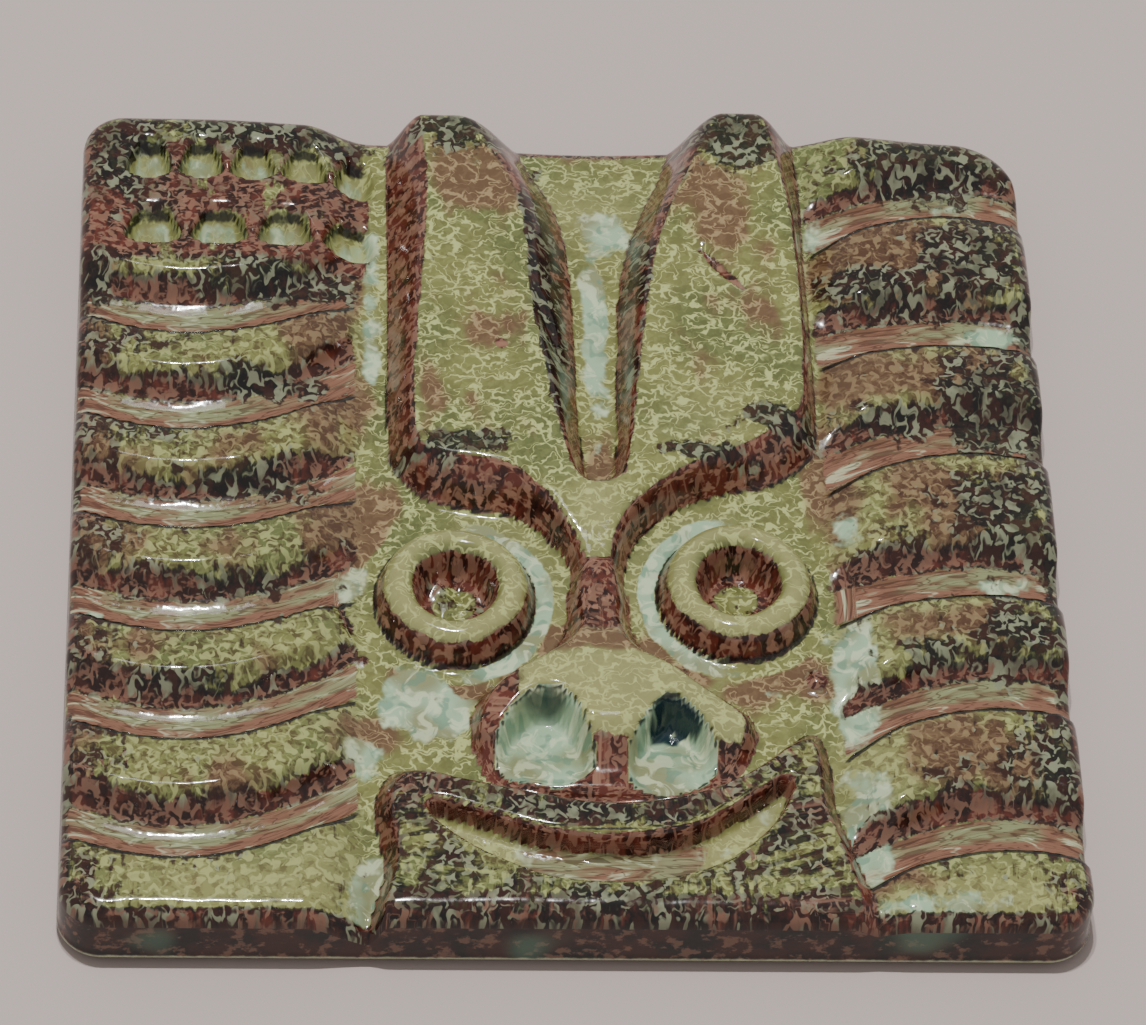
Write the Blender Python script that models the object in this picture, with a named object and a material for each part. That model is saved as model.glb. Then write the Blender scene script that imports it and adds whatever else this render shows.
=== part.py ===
"""A glazed relief tile: a grotesque beast's face with tall ears, between two ribbed manes.

Blender 4.5. Metres, +Z up. The tile stands as it hangs: its face looks along -Y,
its flat back is the plane y = 0, and the origin is at the middle of the back.
"""
import math

import bmesh
import bpy
import numpy as np

# Overall sizes
TILE_WIDTH = 0.150
TILE_HEIGHT = 0.150
SLAB_THICKNESS = 0.0080      # back to the floor of the relief
CORNER_RADIUS = 0.0065
WORN_CORNER_RADIUS = 0.0110  # the top right corner sagged in the firing
EDGE_ROUNDING = 0.0034       # where the face turns over into the sides
LOW_EDGE = 0.25              # an edge lower than the slab is rounded less: by its height
LEAST_ROUNDING = 0.3         # in slabs less the first, and no less than the second
FOOT_CHAMFER = 0.0008        # where the sides meet the back

# Heights of the forms above the relief's floor
BAND_RISE = 0.0044
CORNER_BAND_RISE = 0.0014    # more, in the top left corner
CORNER_SAG = 0.0020          # less, in the top right corner
EAR_RISE = 0.0078
EAR_TIP_RISE = 0.0016        # more, towards the right ear's tip
BROW_FALL = 0.0030           # from the ears down to the bridge of the nose
EYE_RISE = 0.0056
NOSE_RISE = 0.0064
NOSE_ROOT_RISE = 0.0046
NOSE_END_FALL = 0.0044       # from the middle of the nose to its lower edge
NOSE_WING_FALL = 0.0022      # from its middle to its wings
LIP_RISE = 0.0048

# Depths under the relief's floor, and of the scoops under their band
EYE_DEPTH = 0.0010
NOSTRIL_DEPTH = 0.0014
NOSTRIL_END_RISE = 0.0026    # from a nostril's bed up to its lower rim
SMILE_DEPTH = 0.0002
GROOVE_DEPTH = 0.0007
SCOOP_DEPTH = 0.0046

# The drawing: the face is laid out on a sheet of 150 by 150 squares, middle at 0, 0,
# so that one square is one millimetre at the true size. All that follows is in squares.
SHEET = 150.0

# Mane bands from the top: the level of each one's upper edge, and how far its inner end turns
LEFT_BANDS = ((33.0, 6.8), (14.2, 8.0), (-4.6, 6.8), (-23.4, 6.6), (-42.8, 8.0), (-63.3, 8.5))
RIGHT_BANDS = ((58.6, -8.0), (32.4, -4.6), (11.2, -8.0), (-15.6, -5.6), (-36.2, -9.5), (-61.2, -8.6))
LEFT_TURN = -58.0
RIGHT_TURN = 63.0
INWARD_REACH = 25.0
OUTWARD_REACH = 14.0
OUTWARD_TURN = 2.6
INWARD_CURVE = 1.9
GROOVE_WIDTH = 6.5
BAND_WALL = 4.5
BAND_LIP = 1.6
BAND_CROWN = 5.5             # below its lip a band still rises, by this share, over this stretch
BAND_CROWN_SHARE = 0.2

# Where each side's bands run out towards the face, from nothing to full
LEFT_FADE = (-29.0, -40.0)
RIGHT_FADE = (37.0, 49.0)

# The top left corner stands higher, and the top right one sagged, over these stretches
CORNER_LEVELS = (40.0, 70.0)
CORNER_REACH = (-30.0, -55.0)
SAG_REACH = (118.0, 142.0)

# Rows of scoops in the top left corner: base line, first middle, pitch and height
SCOOP_ROWS = ((61.3, -64.4, 8.2, 9.4), (48.6, -63.6, 10.4, 8.8))
SCOOPS_IN_ROW = (5, 4)
SCOOP_END = (-28.0, -31.0)

# A scoop's shape: half its width as a share of the pitch, how far its rim's ends turn up,
# and how pointed it is; then the shares of its height and width that its rim, sides and fall take
SCOOP_HALF_SHARE = 0.52
SCOOP_SMILE = 1.8
SCOOP_POINT = 0.5
SCOOP_RIM_SHARE = 0.10
SCOOP_SIDE_SHARE = 0.42
SCOOP_FALL_SHARE = 0.75

EYE_CENTRES = ((-17.2, -16.6), (25.5, -15.3))
EYE_RADIUS = 12.1
EYE_CREST_RADIUS = 8.0
EYE_HOLE_RADIUS = 4.9

# How the forms' sides run: 1 is straight, more is rounder at the shoulder or flatter at the bed
EAR_SHOULDER = 1.8
NOSE_SHOULDER = 2.0
LIP_SHOULDER = 2.2
EYE_INNER_SHOULDER = 2.6
EYE_OUTER_SHOULDER = 2.8
SMILE_WALL = 2.0
NOSTRIL_WALL = 1.6
SOFT_FOOT = 0.45             # share of a side that follows the soft step

# Stretches over which a form's top rises or falls
EAR_TIP_LEVELS = (40.0, 75.0)
BROW_LEVELS = (4.0, -18.0)
NOSE_ROOT_LEVELS = (-20.0, -33.0)
NOSE_END_LEVELS = (-40.0, -49.0)
NOSE_MIDDLE = 4.3
NOSE_WINGS = (9.0, 20.0)
NOSTRIL_SLOPE = (-41.0, -50.0)

# Outlines of the raised forms, each as a foot line and the crest line inside it
MASK_FOOT = (
    (-25.3, 80), (-27.0, 40), (-27.2, 13.5), (-25.4, 6.4), (-21.2, 1.9), (-14.6, -0.1), (-9.0, -1.0),
    (-4.4, -3.8), (-1.0, -8.0), (0.4, -12.5), (0.2, -19.0), (4.3, -23.0), (8.6, -19.0), (8.5, -14.0),
    (9.6, -8.0), (13.1, -2.5), (18.7, 1.3), (25.7, 3.6), (32.0, 5.2), (37.2, 9.2), (39.2, 15.0),
    (39.2, 45.0), (37.4, 80), (22.4, 80), (16.4, 67.0), (11.9, 55.0), (9.2, 41.0), (7.9, 10.0),
    (5.4, 4.6), (2.9, 10.0), (2.3, 46.0), (0.4, 60.0), (-3.6, 69.0), (-9.6, 80),
)
MASK_CREST = (
    (-21.6, 80), (-19.8, 60.0), (-21.4, 36.0), (-22.6, 20.0), (-22.4, 10.5), (-19.5, 7.0), (-10.2, 5.4),
    (-4.6, 1.2), (-0.9, -4.2), (1.9, -9.5), (3.2, -15.0), (4.3, -20.0), (5.4, -15.0), (6.2, -9.0),
    (8.6, -3.4), (13.0, 0.8), (19.0, 5.0), (26.5, 8.6), (33.6, 14.0), (36.6, 20.0), (36.8, 48.0),
    (34.8, 63.0), (31.6, 75.0), (29.6, 79.0), (27.4, 75.0), (22.4, 64.0), (17.8, 53.0),
    (14.2, 38.0), (9.8, 6.0),
    (8.2, 1.8), (5.0, 0.6), (1.6, 1.8), (-0.8, 9.0), (-5.4, 38.0), (-6.2, 52.0), (-10.0, 64.0),
    (-14.6, 72.0), (-18.4, 80),
)
NOSE_FOOT = (
    (0.6, -13.0), (-1.2, -23.0), (-5.7, -28.0), (-10.2, -30.8), (-13.9, -34.4), (-15.4, -40.0),
    (-14.6, -45.0), (-11.5, -50.4), (-3.0, -52.6), (12.0, -53.0), (20.0, -51.6), (24.6, -47.6),
    (27.2, -42.4), (26.8, -38.2), (23.8, -35.2), (13.8, -28.2), (9.6, -23.0), (8.0, -13.0),
)
NOSE_CREST = (
    (4.3, -14.0), (1.8, -25.0), (-3.4, -30.2), (-8.4, -33.2), (-11.8, -36.4), (-13.2, -40.8),
    (-12.6, -44.0), (-9.4, -48.4), (-3.0, -50.0), (12.0, -50.4), (18.6, -49.2), (22.8, -45.6),
    (24.6, -41.8), (23.6, -38.6), (14.4, -32.4), (8.6, -28.2), (6.4, -23.0),
)
MOUTH_FOOT = (
    (-29.6, -55.0), (-28.6, -50.0), (-25.6, -47.2), (-18.8, -48.0), (-2.8, -52.2), (8.6, -52.6),
    (17.8, -51.4), (25.2, -47.8), (31.6, -42.6), (35.2, -40.2), (37.4, -43.0), (38.2, -53.0),
    (38.6, -82), (-25.2, -82), (-28.2, -64.0),
)
MOUTH_CREST = (
    (-26.2, -55.0), (-25.2, -52.0), (-21.8, -50.8), (-16.0, -52.2), (3.0, -55.9), (12.0, -55.3),
    (20.6, -52.8), (27.6, -49.0), (32.2, -45.4), (34.6, -45.6), (35.4, -54.0), (35.8, -82),
    (-22.4, -82), (-25.2, -62.0),
)

# Outlines of the hollows, each as a rim line and the bed line inside it
SMILE_RIM = (
    (-22.6, -56.4), (-20.4, -54.0), (-7.0, -58.4), (2.0, -59.6), (10.0, -59.4), (17.0, -57.8),
    (24.0, -53.8), (30.0, -49.8), (32.4, -51.2), (30.2, -57.0), (26.2, -61.8), (20.4, -66.0),
    (13.0, -68.4), (4.5, -69.2), (-4.0, -68.4), (-11.0, -65.6), (-17.4, -61.8),
)
SMILE_BED = (
    (-20.4, -56.9), (-18.8, -56.2), (-6.2, -60.8), (2.2, -62.2), (10.0, -62.0), (17.4, -60.2),
    (24.4, -56.0), (29.8, -51.8), (30.8, -52.4), (28.8, -56.6), (25.0, -60.8), (19.4, -64.6),
    (12.6, -66.9), (4.5, -67.7), (-3.6, -66.9), (-10.2, -64.2), (-16.4, -60.4),
)
NOSTRIL_RIMS = (
    ((-11.8, -43.4), (-9.0, -38.2), (-5.8, -35.9), (-2.0, -35.8), (0.9, -39.2), (2.8, -44.6),
     (2.5, -48.2), (-1.8, -50.9), (-6.4, -50.2), (-10.8, -48.6)),
    ((7.6, -45.4), (9.9, -41.2), (13.4, -37.0), (17.0, -38.2), (20.8, -43.2), (20.8, -47.6),
     (17.4, -50.8), (12.5, -52.0), (8.4, -50.6)),
)
NOSTRIL_BED_SHARE = 0.80
NOSTRIL_BED_DROP = 0.4

# Where the floor sinks or swells: middle, reach, and how far as a share of the slab
POOLS = (
    (5, 78, 22, -0.32), (40, 74, 8, 0.17), (5.4, 12, 8, 0.12), (-26, -76, 7, -0.42),
    (-21, -35, 8, -0.08), (42, -78, 9, 0.27), (40, -30, 8, 0.08), (44, 20, 14, 0.15),
)

# Fineness of the mesh
SHEET_CELLS = 200
RIM_CLOSENESS = 0.28         # how much closer the net is at the rim
ROUNDED_RINGS = (0.78, 1.0)  # the net's squares turn from sharp to rounded between these
CURVE_STEPS = 6
KEPT_SHARE = 0.105
SHARP_ANGLE = math.radians(40)

GLAZE_COLOUR = (0.17, 0.21, 0.075, 1.0)
GLAZE_ROUGHNESS = 0.18


def smooth(t):
    """Level, steep, level: a soft step from 0 to 1."""
    t = np.clip(t, 0.0, 1.0)
    return t * t * (3.0 - 2.0 * t)


def between(value, stretch):
    """A soft step from 0 at the start of a stretch to 1 at its end."""
    return smooth((value - stretch[0]) / (stretch[1] - stretch[0]))


def shoulder(t, power):
    """Steep at the foot and level at the crest."""
    return 1.0 - (1.0 - np.clip(t, 0.0, 1.0)) ** power


def spline(points):
    """A smooth closed line through the points."""
    here = np.array(points, float)
    before = np.roll(here, 1, 0)
    after = np.roll(here, -1, 0)
    beyond = np.roll(here, -2, 0)
    rows = []
    for step in range(CURVE_STEPS):
        t = step / CURVE_STEPS
        linear = (after - before) * t
        square = (2 * before - 5 * here + 4 * after - beyond) * t ** 2
        cube = (3 * here - before - 3 * after + beyond) * t ** 3
        rows.append(0.5 * (2 * here + linear + square + cube))
    return np.stack(rows, 1).reshape(-1, 2)


def depth_inside(u, v, line):
    """How far inside the closed line a place is; below 0 outside it."""
    nearest = np.full(u.shape, np.inf)
    odd = np.zeros(u.shape, bool)
    for (au, av), (bu, bv) in zip(line, np.roll(line, -1, 0)):
        run_u = bu - au
        run_v = bv - av
        along = ((u - au) * run_u + (v - av) * run_v) / (run_u ** 2 + run_v ** 2)
        along = np.clip(along, 0.0, 1.0)
        nearest = np.minimum(nearest, (u - au - along * run_u) ** 2 + (v - av - along * run_v) ** 2)
        if run_v:
            odd ^= ((v < av) != (v < bv)) & (u < au + (v - av) * run_u / run_v)
    return np.where(odd, 1.0, -1.0) * np.sqrt(nearest)


def loft(u, v, outer, inner):
    """0 outside the outer line, 1 inside the inner one, and the share of the way between them."""
    passed = np.maximum(depth_inside(u, v, spline(outer)), 0.0)
    left = np.maximum(-depth_inside(u, v, spline(inner)), 0.0)
    return passed / (passed + left + 1e-9)


def floor_height(u, v):
    """The ground between the forms."""
    height = np.full(u.shape, SLAB_THICKNESS)
    for middle_u, middle_v, reach, amount in POOLS:
        height += amount * SLAB_THICKNESS * np.exp(-((u - middle_u) ** 2 + (v - middle_v) ** 2) / reach ** 2)
    return height


def band_edge(u, turn, side, level, rise):
    """The level of a band's upper edge: it turns up or down on both sides of its middle."""
    off = (u - turn) * side
    inward = np.maximum(-off, 0.0) / INWARD_REACH
    outward = np.maximum(off, 0.0) / OUTWARD_REACH
    return level + rise * inward ** INWARD_CURVE + np.sign(rise) * OUTWARD_TURN * outward ** 2


def mane(u, v, turn, side, bands):
    """The bands of one side: share of their full rise, and how deep the grooves dip."""
    edges = [band_edge(u, turn, side, level, rise) for level, rise in bands]
    edges = [np.full(u.shape, np.inf)] + edges + [np.full(u.shape, -np.inf)]
    share = np.zeros(u.shape)
    dip = np.zeros(u.shape)
    for upper, lower in zip(edges, edges[1:]):
        below = upper - v
        above = v - lower
        rise = smooth(below / BAND_LIP + 0.25)
        rise *= 1.0 - BAND_CROWN_SHARE * (1.0 - smooth(below / BAND_CROWN))
        fall = smooth((above - GROOVE_WIDTH) / BAND_WALL)
        share = np.maximum(share, np.where(above > 0, rise * fall, 0.0))
        across = np.clip(above / GROOVE_WIDTH, 0.0, 1.0)
        dip = np.maximum(dip, 4 * across * (1 - across))
    return share, dip


def scoops(u, v):
    """Rows of pointed thumb scoops, deepest just above their round lower rims."""
    depth = np.zeros(u.shape)
    for (base, first, pitch, tall), count in zip(SCOOP_ROWS, SCOOPS_IN_ROW):
        for place in range(count):
            across = (u - first - place * pitch) / (SCOOP_HALF_SHARE * pitch)
            up = (v - base - SCOOP_SMILE * across ** 2) / tall
            narrowing = np.clip(1.0 - up, 0.0, 1.0) ** SCOOP_POINT + 1e-6
            room = np.clip(1.0 - np.abs(across) / narrowing, 0.0, 1.0)
            rim = smooth(up / SCOOP_RIM_SHARE)
            sides = smooth(room / SCOOP_SIDE_SHARE)
            fall = smooth((1.0 - up) / SCOOP_FALL_SHARE)
            depth = np.maximum(depth, rim * sides * fall)
    return depth


def eyes(u, v, height):
    for middle_u, middle_v in EYE_CENTRES:
        r = np.hypot(u - middle_u, v - middle_v)
        inner = shoulder((r - EYE_HOLE_RADIUS) / (EYE_CREST_RADIUS - EYE_HOLE_RADIUS), EYE_INNER_SHOULDER)
        outer = shoulder((EYE_RADIUS - r) / (EYE_RADIUS - EYE_CREST_RADIUS), EYE_OUTER_SHOULDER)
        bed = SLAB_THICKNESS - EYE_DEPTH
        crest = SLAB_THICKNESS + EYE_RISE
        ring = np.where(r < EYE_CREST_RADIUS, bed + (crest - bed) * inner, height + (crest - height) * outer)
        height = np.where(r < EYE_RADIUS, ring, height)
    return height


def raise_form(u, v, height, foot, crest, top, power):
    """Lifts the surface to a form's top inside its crest line, over a soft foot and a round shoulder."""
    t = loft(u, v, foot, crest)
    share = SOFT_FOOT * smooth(t) + (1.0 - SOFT_FOOT) * shoulder(t, power)
    return np.maximum(height, height + (top - height) * share)


def sink_form(u, v, height, rim, bed, bottom, power):
    """Sinks the surface to a hollow's bottom inside its bed line, from a crisp rim."""
    t = loft(u, v, rim, bed)
    return height + (bottom - height) * t ** power


def nostril_bed(rim):
    """The bed line of a nostril: its rim drawn in, and moved down."""
    line = np.array(rim)
    middle = line.mean(0)
    return (line - middle) * NOSTRIL_BED_SHARE + middle - (0.0, NOSTRIL_BED_DROP)


def manes(u, v):
    """The ground and the bands on both sides, with the scoops, in metres."""
    ground = floor_height(u, v)
    plain_top = SLAB_THICKNESS + BAND_RISE
    share, dip = mane(u, v, LEFT_TURN, -1.0, LEFT_BANDS)
    top = plain_top + CORNER_BAND_RISE * between(v, CORNER_LEVELS) * between(u, CORNER_REACH)
    left = ground + ((top - ground) * share - GROOVE_DEPTH * dip) * between(u, LEFT_FADE)
    left -= SCOOP_DEPTH * scoops(u, v) * between(u, SCOOP_END)
    share, dip = mane(u, v, RIGHT_TURN, 1.0, RIGHT_BANDS)
    top = plain_top - CORNER_SAG * between(u + v, SAG_REACH)
    right = ground + ((top - ground) * share - GROOVE_DEPTH * dip) * between(u, RIGHT_FADE)
    return np.where(u < 0, left, right)


def relief_height(u, v):
    """Height of the carved face above the back, in metres, at a place on the drawing."""
    height = eyes(u, v, manes(u, v))

    top = SLAB_THICKNESS + EAR_RISE - BROW_FALL * between(v, BROW_LEVELS)
    top += EAR_TIP_RISE * between(v, EAR_TIP_LEVELS) * (u > NOSE_MIDDLE)
    height = raise_form(u, v, height, MASK_FOOT, MASK_CREST, top, EAR_SHOULDER)

    top = SLAB_THICKNESS + NOSE_ROOT_RISE + (NOSE_RISE - NOSE_ROOT_RISE) * between(v, NOSE_ROOT_LEVELS)
    top -= NOSE_END_FALL * between(v, NOSE_END_LEVELS)
    top -= NOSE_WING_FALL * between(np.abs(u - NOSE_MIDDLE), NOSE_WINGS)
    height = raise_form(u, v, height, NOSE_FOOT, NOSE_CREST, top, NOSE_SHOULDER)

    lips = SLAB_THICKNESS + LIP_RISE
    height = raise_form(u, v, height, MOUTH_FOOT, MOUTH_CREST, lips, LIP_SHOULDER)
    height = sink_form(u, v, height, SMILE_RIM, SMILE_BED, SLAB_THICKNESS - SMILE_DEPTH, SMILE_WALL)
    bottom = SLAB_THICKNESS - NOSTRIL_DEPTH + NOSTRIL_END_RISE * between(v, NOSTRIL_SLOPE)
    for rim in NOSTRIL_RIMS:
        height = sink_form(u, v, height, rim, nostril_bed(rim), bottom, NOSTRIL_WALL)
    return height


def corner_radius(x, z):
    return np.where((x > 0) & (z > 0), WORN_CORNER_RADIUS, CORNER_RADIUS)


def past_corner(x, z):
    """How far a place lies past the middle of its corner's arc, along x and along z."""
    radius = corner_radius(x, z)
    return np.abs(x) - (TILE_WIDTH / 2 - radius), np.abs(z) - (TILE_HEIGHT / 2 - radius)


def edge_depth(x, z):
    """How far inside the tile's rounded outline a place is, in metres."""
    past_x, past_z = past_corner(x, z)
    outside = np.hypot(np.maximum(past_x, 0.0), np.maximum(past_z, 0.0))
    return corner_radius(x, z) - outside - np.minimum(np.maximum(past_x, past_z), 0.0)


def tile_height(x, z):
    """Height of the finished face above the back, with its edge turned over."""
    height = relief_height(x * SHEET / TILE_WIDTH, z * SHEET / TILE_HEIGHT)
    short = EDGE_ROUNDING - np.clip(edge_depth(x, z), 0.0, EDGE_ROUNDING)
    drop = EDGE_ROUNDING - np.sqrt(EDGE_ROUNDING ** 2 - short ** 2)
    return height - drop * np.clip(height / SLAB_THICKNESS - LOW_EDGE, LEAST_ROUNDING, 1.0)


def face_plan():
    """Where the face's vertices stand: a square net, closer at the rim, rounded at the corners."""
    steps = np.linspace(-1.0, 1.0, SHEET_CELLS + 1)
    steps = steps * (1.0 + RIM_CLOSENESS) - RIM_CLOSENESS * steps ** 3
    across, up = np.meshgrid(steps, steps)
    ring = np.maximum(np.abs(across), np.abs(up))
    x = across * TILE_WIDTH / 2
    z = up * TILE_HEIGHT / 2
    radius = corner_radius(x, z) * between(ring, ROUNDED_RINGS) + 1e-9
    core_x = np.maximum(ring * TILE_WIDTH / 2 - radius, 0.0)
    core_z = np.maximum(ring * TILE_HEIGHT / 2 - radius, 0.0)
    past_x = np.maximum(np.abs(x) - core_x, 0.0)
    past_z = np.maximum(np.abs(z) - core_z, 0.0)
    pull = radius / np.maximum(np.hypot(past_x, past_z), radius)
    x = np.sign(x) * (np.abs(x) - past_x + past_x * pull)
    z = np.sign(z) * (np.abs(z) - past_z + past_z * pull)
    return x.ravel(), z.ravel()


def glaze():
    material = bpy.data.materials.new("reactive_glaze")
    material.use_nodes = True
    shader = material.node_tree.nodes["Principled BSDF"]
    shader.inputs["Base Color"].default_value = GLAZE_COLOUR
    shader.inputs["Roughness"].default_value = GLAZE_ROUGHNESS
    shader.inputs["Metallic"].default_value = 0.0
    material.diffuse_color = GLAZE_COLOUR
    return material


def carved_face():
    """The face as an open sheet: a fine net at its true heights, thinned where it is plain."""
    x, z = face_plan()
    y = -tile_height(x, z)
    side = SHEET_CELLS + 1
    corner = np.arange(side * side).reshape(side, side)[:-1, :-1].ravel()
    quads = np.stack([corner, corner + 1, corner + side + 1, corner + side], 1)
    mesh = bpy.data.meshes.new("relief_tile")
    mesh.from_pydata(np.stack([x, y, z], 1).tolist(), [], quads.tolist())
    tile = bpy.data.objects.new("relief_tile", mesh)
    bpy.context.collection.objects.link(tile)
    bpy.context.view_layer.objects.active = tile
    tile.select_set(True)
    thinning = tile.modifiers.new("thinning", "DECIMATE")
    thinning.decimate_type = "COLLAPSE"
    thinning.use_collapse_triangulate = True
    thinning.ratio = KEPT_SHARE
    bpy.ops.object.modifier_apply(modifier=thinning.name)
    return tile


def close_body(tile):
    """Takes the rim of the face straight back to the foot, and closes the flat back."""
    body = bmesh.new()
    body.from_mesh(tile.data)
    rim = [edge for edge in body.edges if edge.is_boundary]
    for depth, inset in ((FOOT_CHAMFER, 0.0), (0.0, FOOT_CHAMFER)):
        made = bmesh.ops.extrude_edge_only(body, edges=rim)["geom"]
        rim = [part for part in made if isinstance(part, bmesh.types.BMEdge)]
        for vertex in [part for part in made if isinstance(part, bmesh.types.BMVert)]:
            past = np.maximum(past_corner(vertex.co.x, vertex.co.z), 0.0)
            out = past / np.linalg.norm(past)
            vertex.co.x -= math.copysign(out[0] * inset, vertex.co.x)
            vertex.co.z -= math.copysign(out[1] * inset, vertex.co.z)
            vertex.co.y = -depth
    bmesh.ops.holes_fill(body, edges=rim, sides=0)
    bmesh.ops.triangulate(body, faces=body.faces[:])
    bmesh.ops.recalc_face_normals(body, faces=body.faces[:])
    body.to_mesh(tile.data)
    body.free()


def main():
    for existing in list(bpy.data.objects):
        bpy.data.objects.remove(existing)
    tile = carved_face()
    close_body(tile)
    tile.data.materials.append(glaze())
    tile.data.shade_smooth()
    tile.data.set_sharp_from_angle(angle=SHARP_ANGLE)


main()
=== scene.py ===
"""The looks of a glazed relief tile: a grotesque beast's face between two ribbed manes.

Blender 4.5, run as a script. The tile hangs on a pale wall: its face looks along -Y,
its flat back is the plane y = 0, and the origin is at the middle of the back.
"""

import math

import bpy
import numpy as np
from mathutils import Matrix, Vector


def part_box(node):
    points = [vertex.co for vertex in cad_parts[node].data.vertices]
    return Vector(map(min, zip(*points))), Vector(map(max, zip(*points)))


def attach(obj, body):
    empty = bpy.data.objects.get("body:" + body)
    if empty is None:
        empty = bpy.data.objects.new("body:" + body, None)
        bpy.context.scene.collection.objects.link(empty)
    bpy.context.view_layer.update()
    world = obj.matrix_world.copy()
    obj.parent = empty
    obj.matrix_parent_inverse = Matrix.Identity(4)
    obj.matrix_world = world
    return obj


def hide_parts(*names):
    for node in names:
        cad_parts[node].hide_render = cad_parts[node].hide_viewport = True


bl_info = {
    "name": "Glazed Relief Tile",
    "version": (1, 0, 0),
    "blender": (4, 5, 0),
    "location": "3D View > Sidebar > Relief Tile",
    "description": "A carved and glazed wall tile on a studio wall",
    "category": "Add Mesh",
}

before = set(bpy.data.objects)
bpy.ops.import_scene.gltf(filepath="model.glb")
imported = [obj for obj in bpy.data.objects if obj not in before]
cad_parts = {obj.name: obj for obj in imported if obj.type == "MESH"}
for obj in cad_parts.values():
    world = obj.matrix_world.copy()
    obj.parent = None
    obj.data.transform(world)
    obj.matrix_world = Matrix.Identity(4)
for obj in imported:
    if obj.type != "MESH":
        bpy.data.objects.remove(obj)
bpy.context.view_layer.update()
TILE_LOW, TILE_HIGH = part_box("relief_tile")
TILE_WIDTH = TILE_HIGH[0] - TILE_LOW[0]
TILE_HEIGHT = TILE_HIGH[2] - TILE_LOW[2]

# Heights of the forms above the relief's floor, and depths below it, as the solid has them
SLAB_THICKNESS = 0.0080
BAND_RISE = 0.0044
CORNER_BAND_RISE = 0.0014
CORNER_SAG = 0.0020
EAR_RISE = 0.0078
EAR_TIP_RISE = 0.0016
BROW_FALL = 0.0030
EYE_RISE = 0.0056
NOSE_RISE = 0.0064
NOSE_ROOT_RISE = 0.0046
NOSE_END_FALL = 0.0044
NOSE_WING_FALL = 0.0022
LIP_RISE = 0.0048
EYE_DEPTH = 0.0010
NOSTRIL_DEPTH = 0.0014
NOSTRIL_END_RISE = 0.0026
SMILE_DEPTH = 0.0002
GROOVE_DEPTH = 0.0007
SCOOP_DEPTH = 0.0046
CORNER_RADIUS = 0.0065
WORN_CORNER_RADIUS = 0.0110
EDGE_ROUNDING = 0.0034
LOW_EDGE = 0.25
LEAST_ROUNDING = 0.3

# The drawing: the face is laid out on a sheet of 150 by 150 squares, middle at 0, 0,
# so that one square is one millimetre at the true size. All that follows is in squares.
SHEET = 150.0

# Mane bands from the top: the level of each one's upper edge, and how far its inner end turns
LEFT_BANDS = ((33.0, 6.8), (14.2, 8.0), (-4.6, 6.8), (-23.4, 6.6), (-42.8, 8.0), (-63.3, 8.5))
RIGHT_BANDS = ((58.6, -8.0), (32.4, -4.6), (11.2, -8.0), (-15.6, -5.6), (-36.2, -9.5), (-61.2, -8.6))
LEFT_TURN = -58.0
RIGHT_TURN = 63.0
INWARD_REACH = 25.0
OUTWARD_REACH = 14.0
OUTWARD_TURN = 2.6
INWARD_CURVE = 1.9
GROOVE_WIDTH = 6.5
BAND_WALL = 4.5
BAND_LIP = 1.6
BAND_CROWN = 5.5
BAND_CROWN_SHARE = 0.2
LEFT_FADE = (-29.0, -40.0)
RIGHT_FADE = (37.0, 49.0)
CORNER_LEVELS = (40.0, 70.0)
CORNER_REACH = (-30.0, -55.0)
SAG_REACH = (118.0, 142.0)

# Rows of scoops in the top left corner: base line, first middle, pitch and height
SCOOP_ROWS = ((61.3, -64.4, 8.2, 9.4), (48.6, -63.6, 10.4, 8.8))
SCOOPS_IN_ROW = (5, 4)
SCOOP_END = (-28.0, -31.0)

# A scoop's shape: half its width as a share of the pitch, how far its rim's ends turn up,
# and how pointed it is; then the shares of its height and width that its rim, sides and fall take
SCOOP_HALF_SHARE = 0.52
SCOOP_SMILE = 1.8
SCOOP_POINT = 0.5
SCOOP_RIM_SHARE = 0.10
SCOOP_SIDE_SHARE = 0.42
SCOOP_FALL_SHARE = 0.75

EYE_CENTRES = ((-17.2, -16.6), (25.5, -15.3))
EYE_RADIUS = 12.1
EYE_CREST_RADIUS = 8.0
EYE_HOLE_RADIUS = 4.9
SOCKET_REACH = 18.0

# How the forms' sides run: 1 is straight, more is rounder at the shoulder or flatter at the bed
EAR_SHOULDER = 1.8
NOSE_SHOULDER = 2.0
LIP_SHOULDER = 2.2
EYE_INNER_SHOULDER = 2.6
EYE_OUTER_SHOULDER = 2.8
SMILE_WALL = 2.0
NOSTRIL_WALL = 1.6
SOFT_FOOT = 0.45

# Stretches over which a form's top rises or falls
EAR_TIP_LEVELS = (40.0, 75.0)
BROW_LEVELS = (4.0, -18.0)
NOSE_ROOT_LEVELS = (-20.0, -33.0)
NOSE_END_LEVELS = (-40.0, -49.0)
NOSE_MIDDLE = 4.3
NOSE_WINGS = (9.0, 20.0)
NOSTRIL_SLOPE = (-41.0, -50.0)

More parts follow.
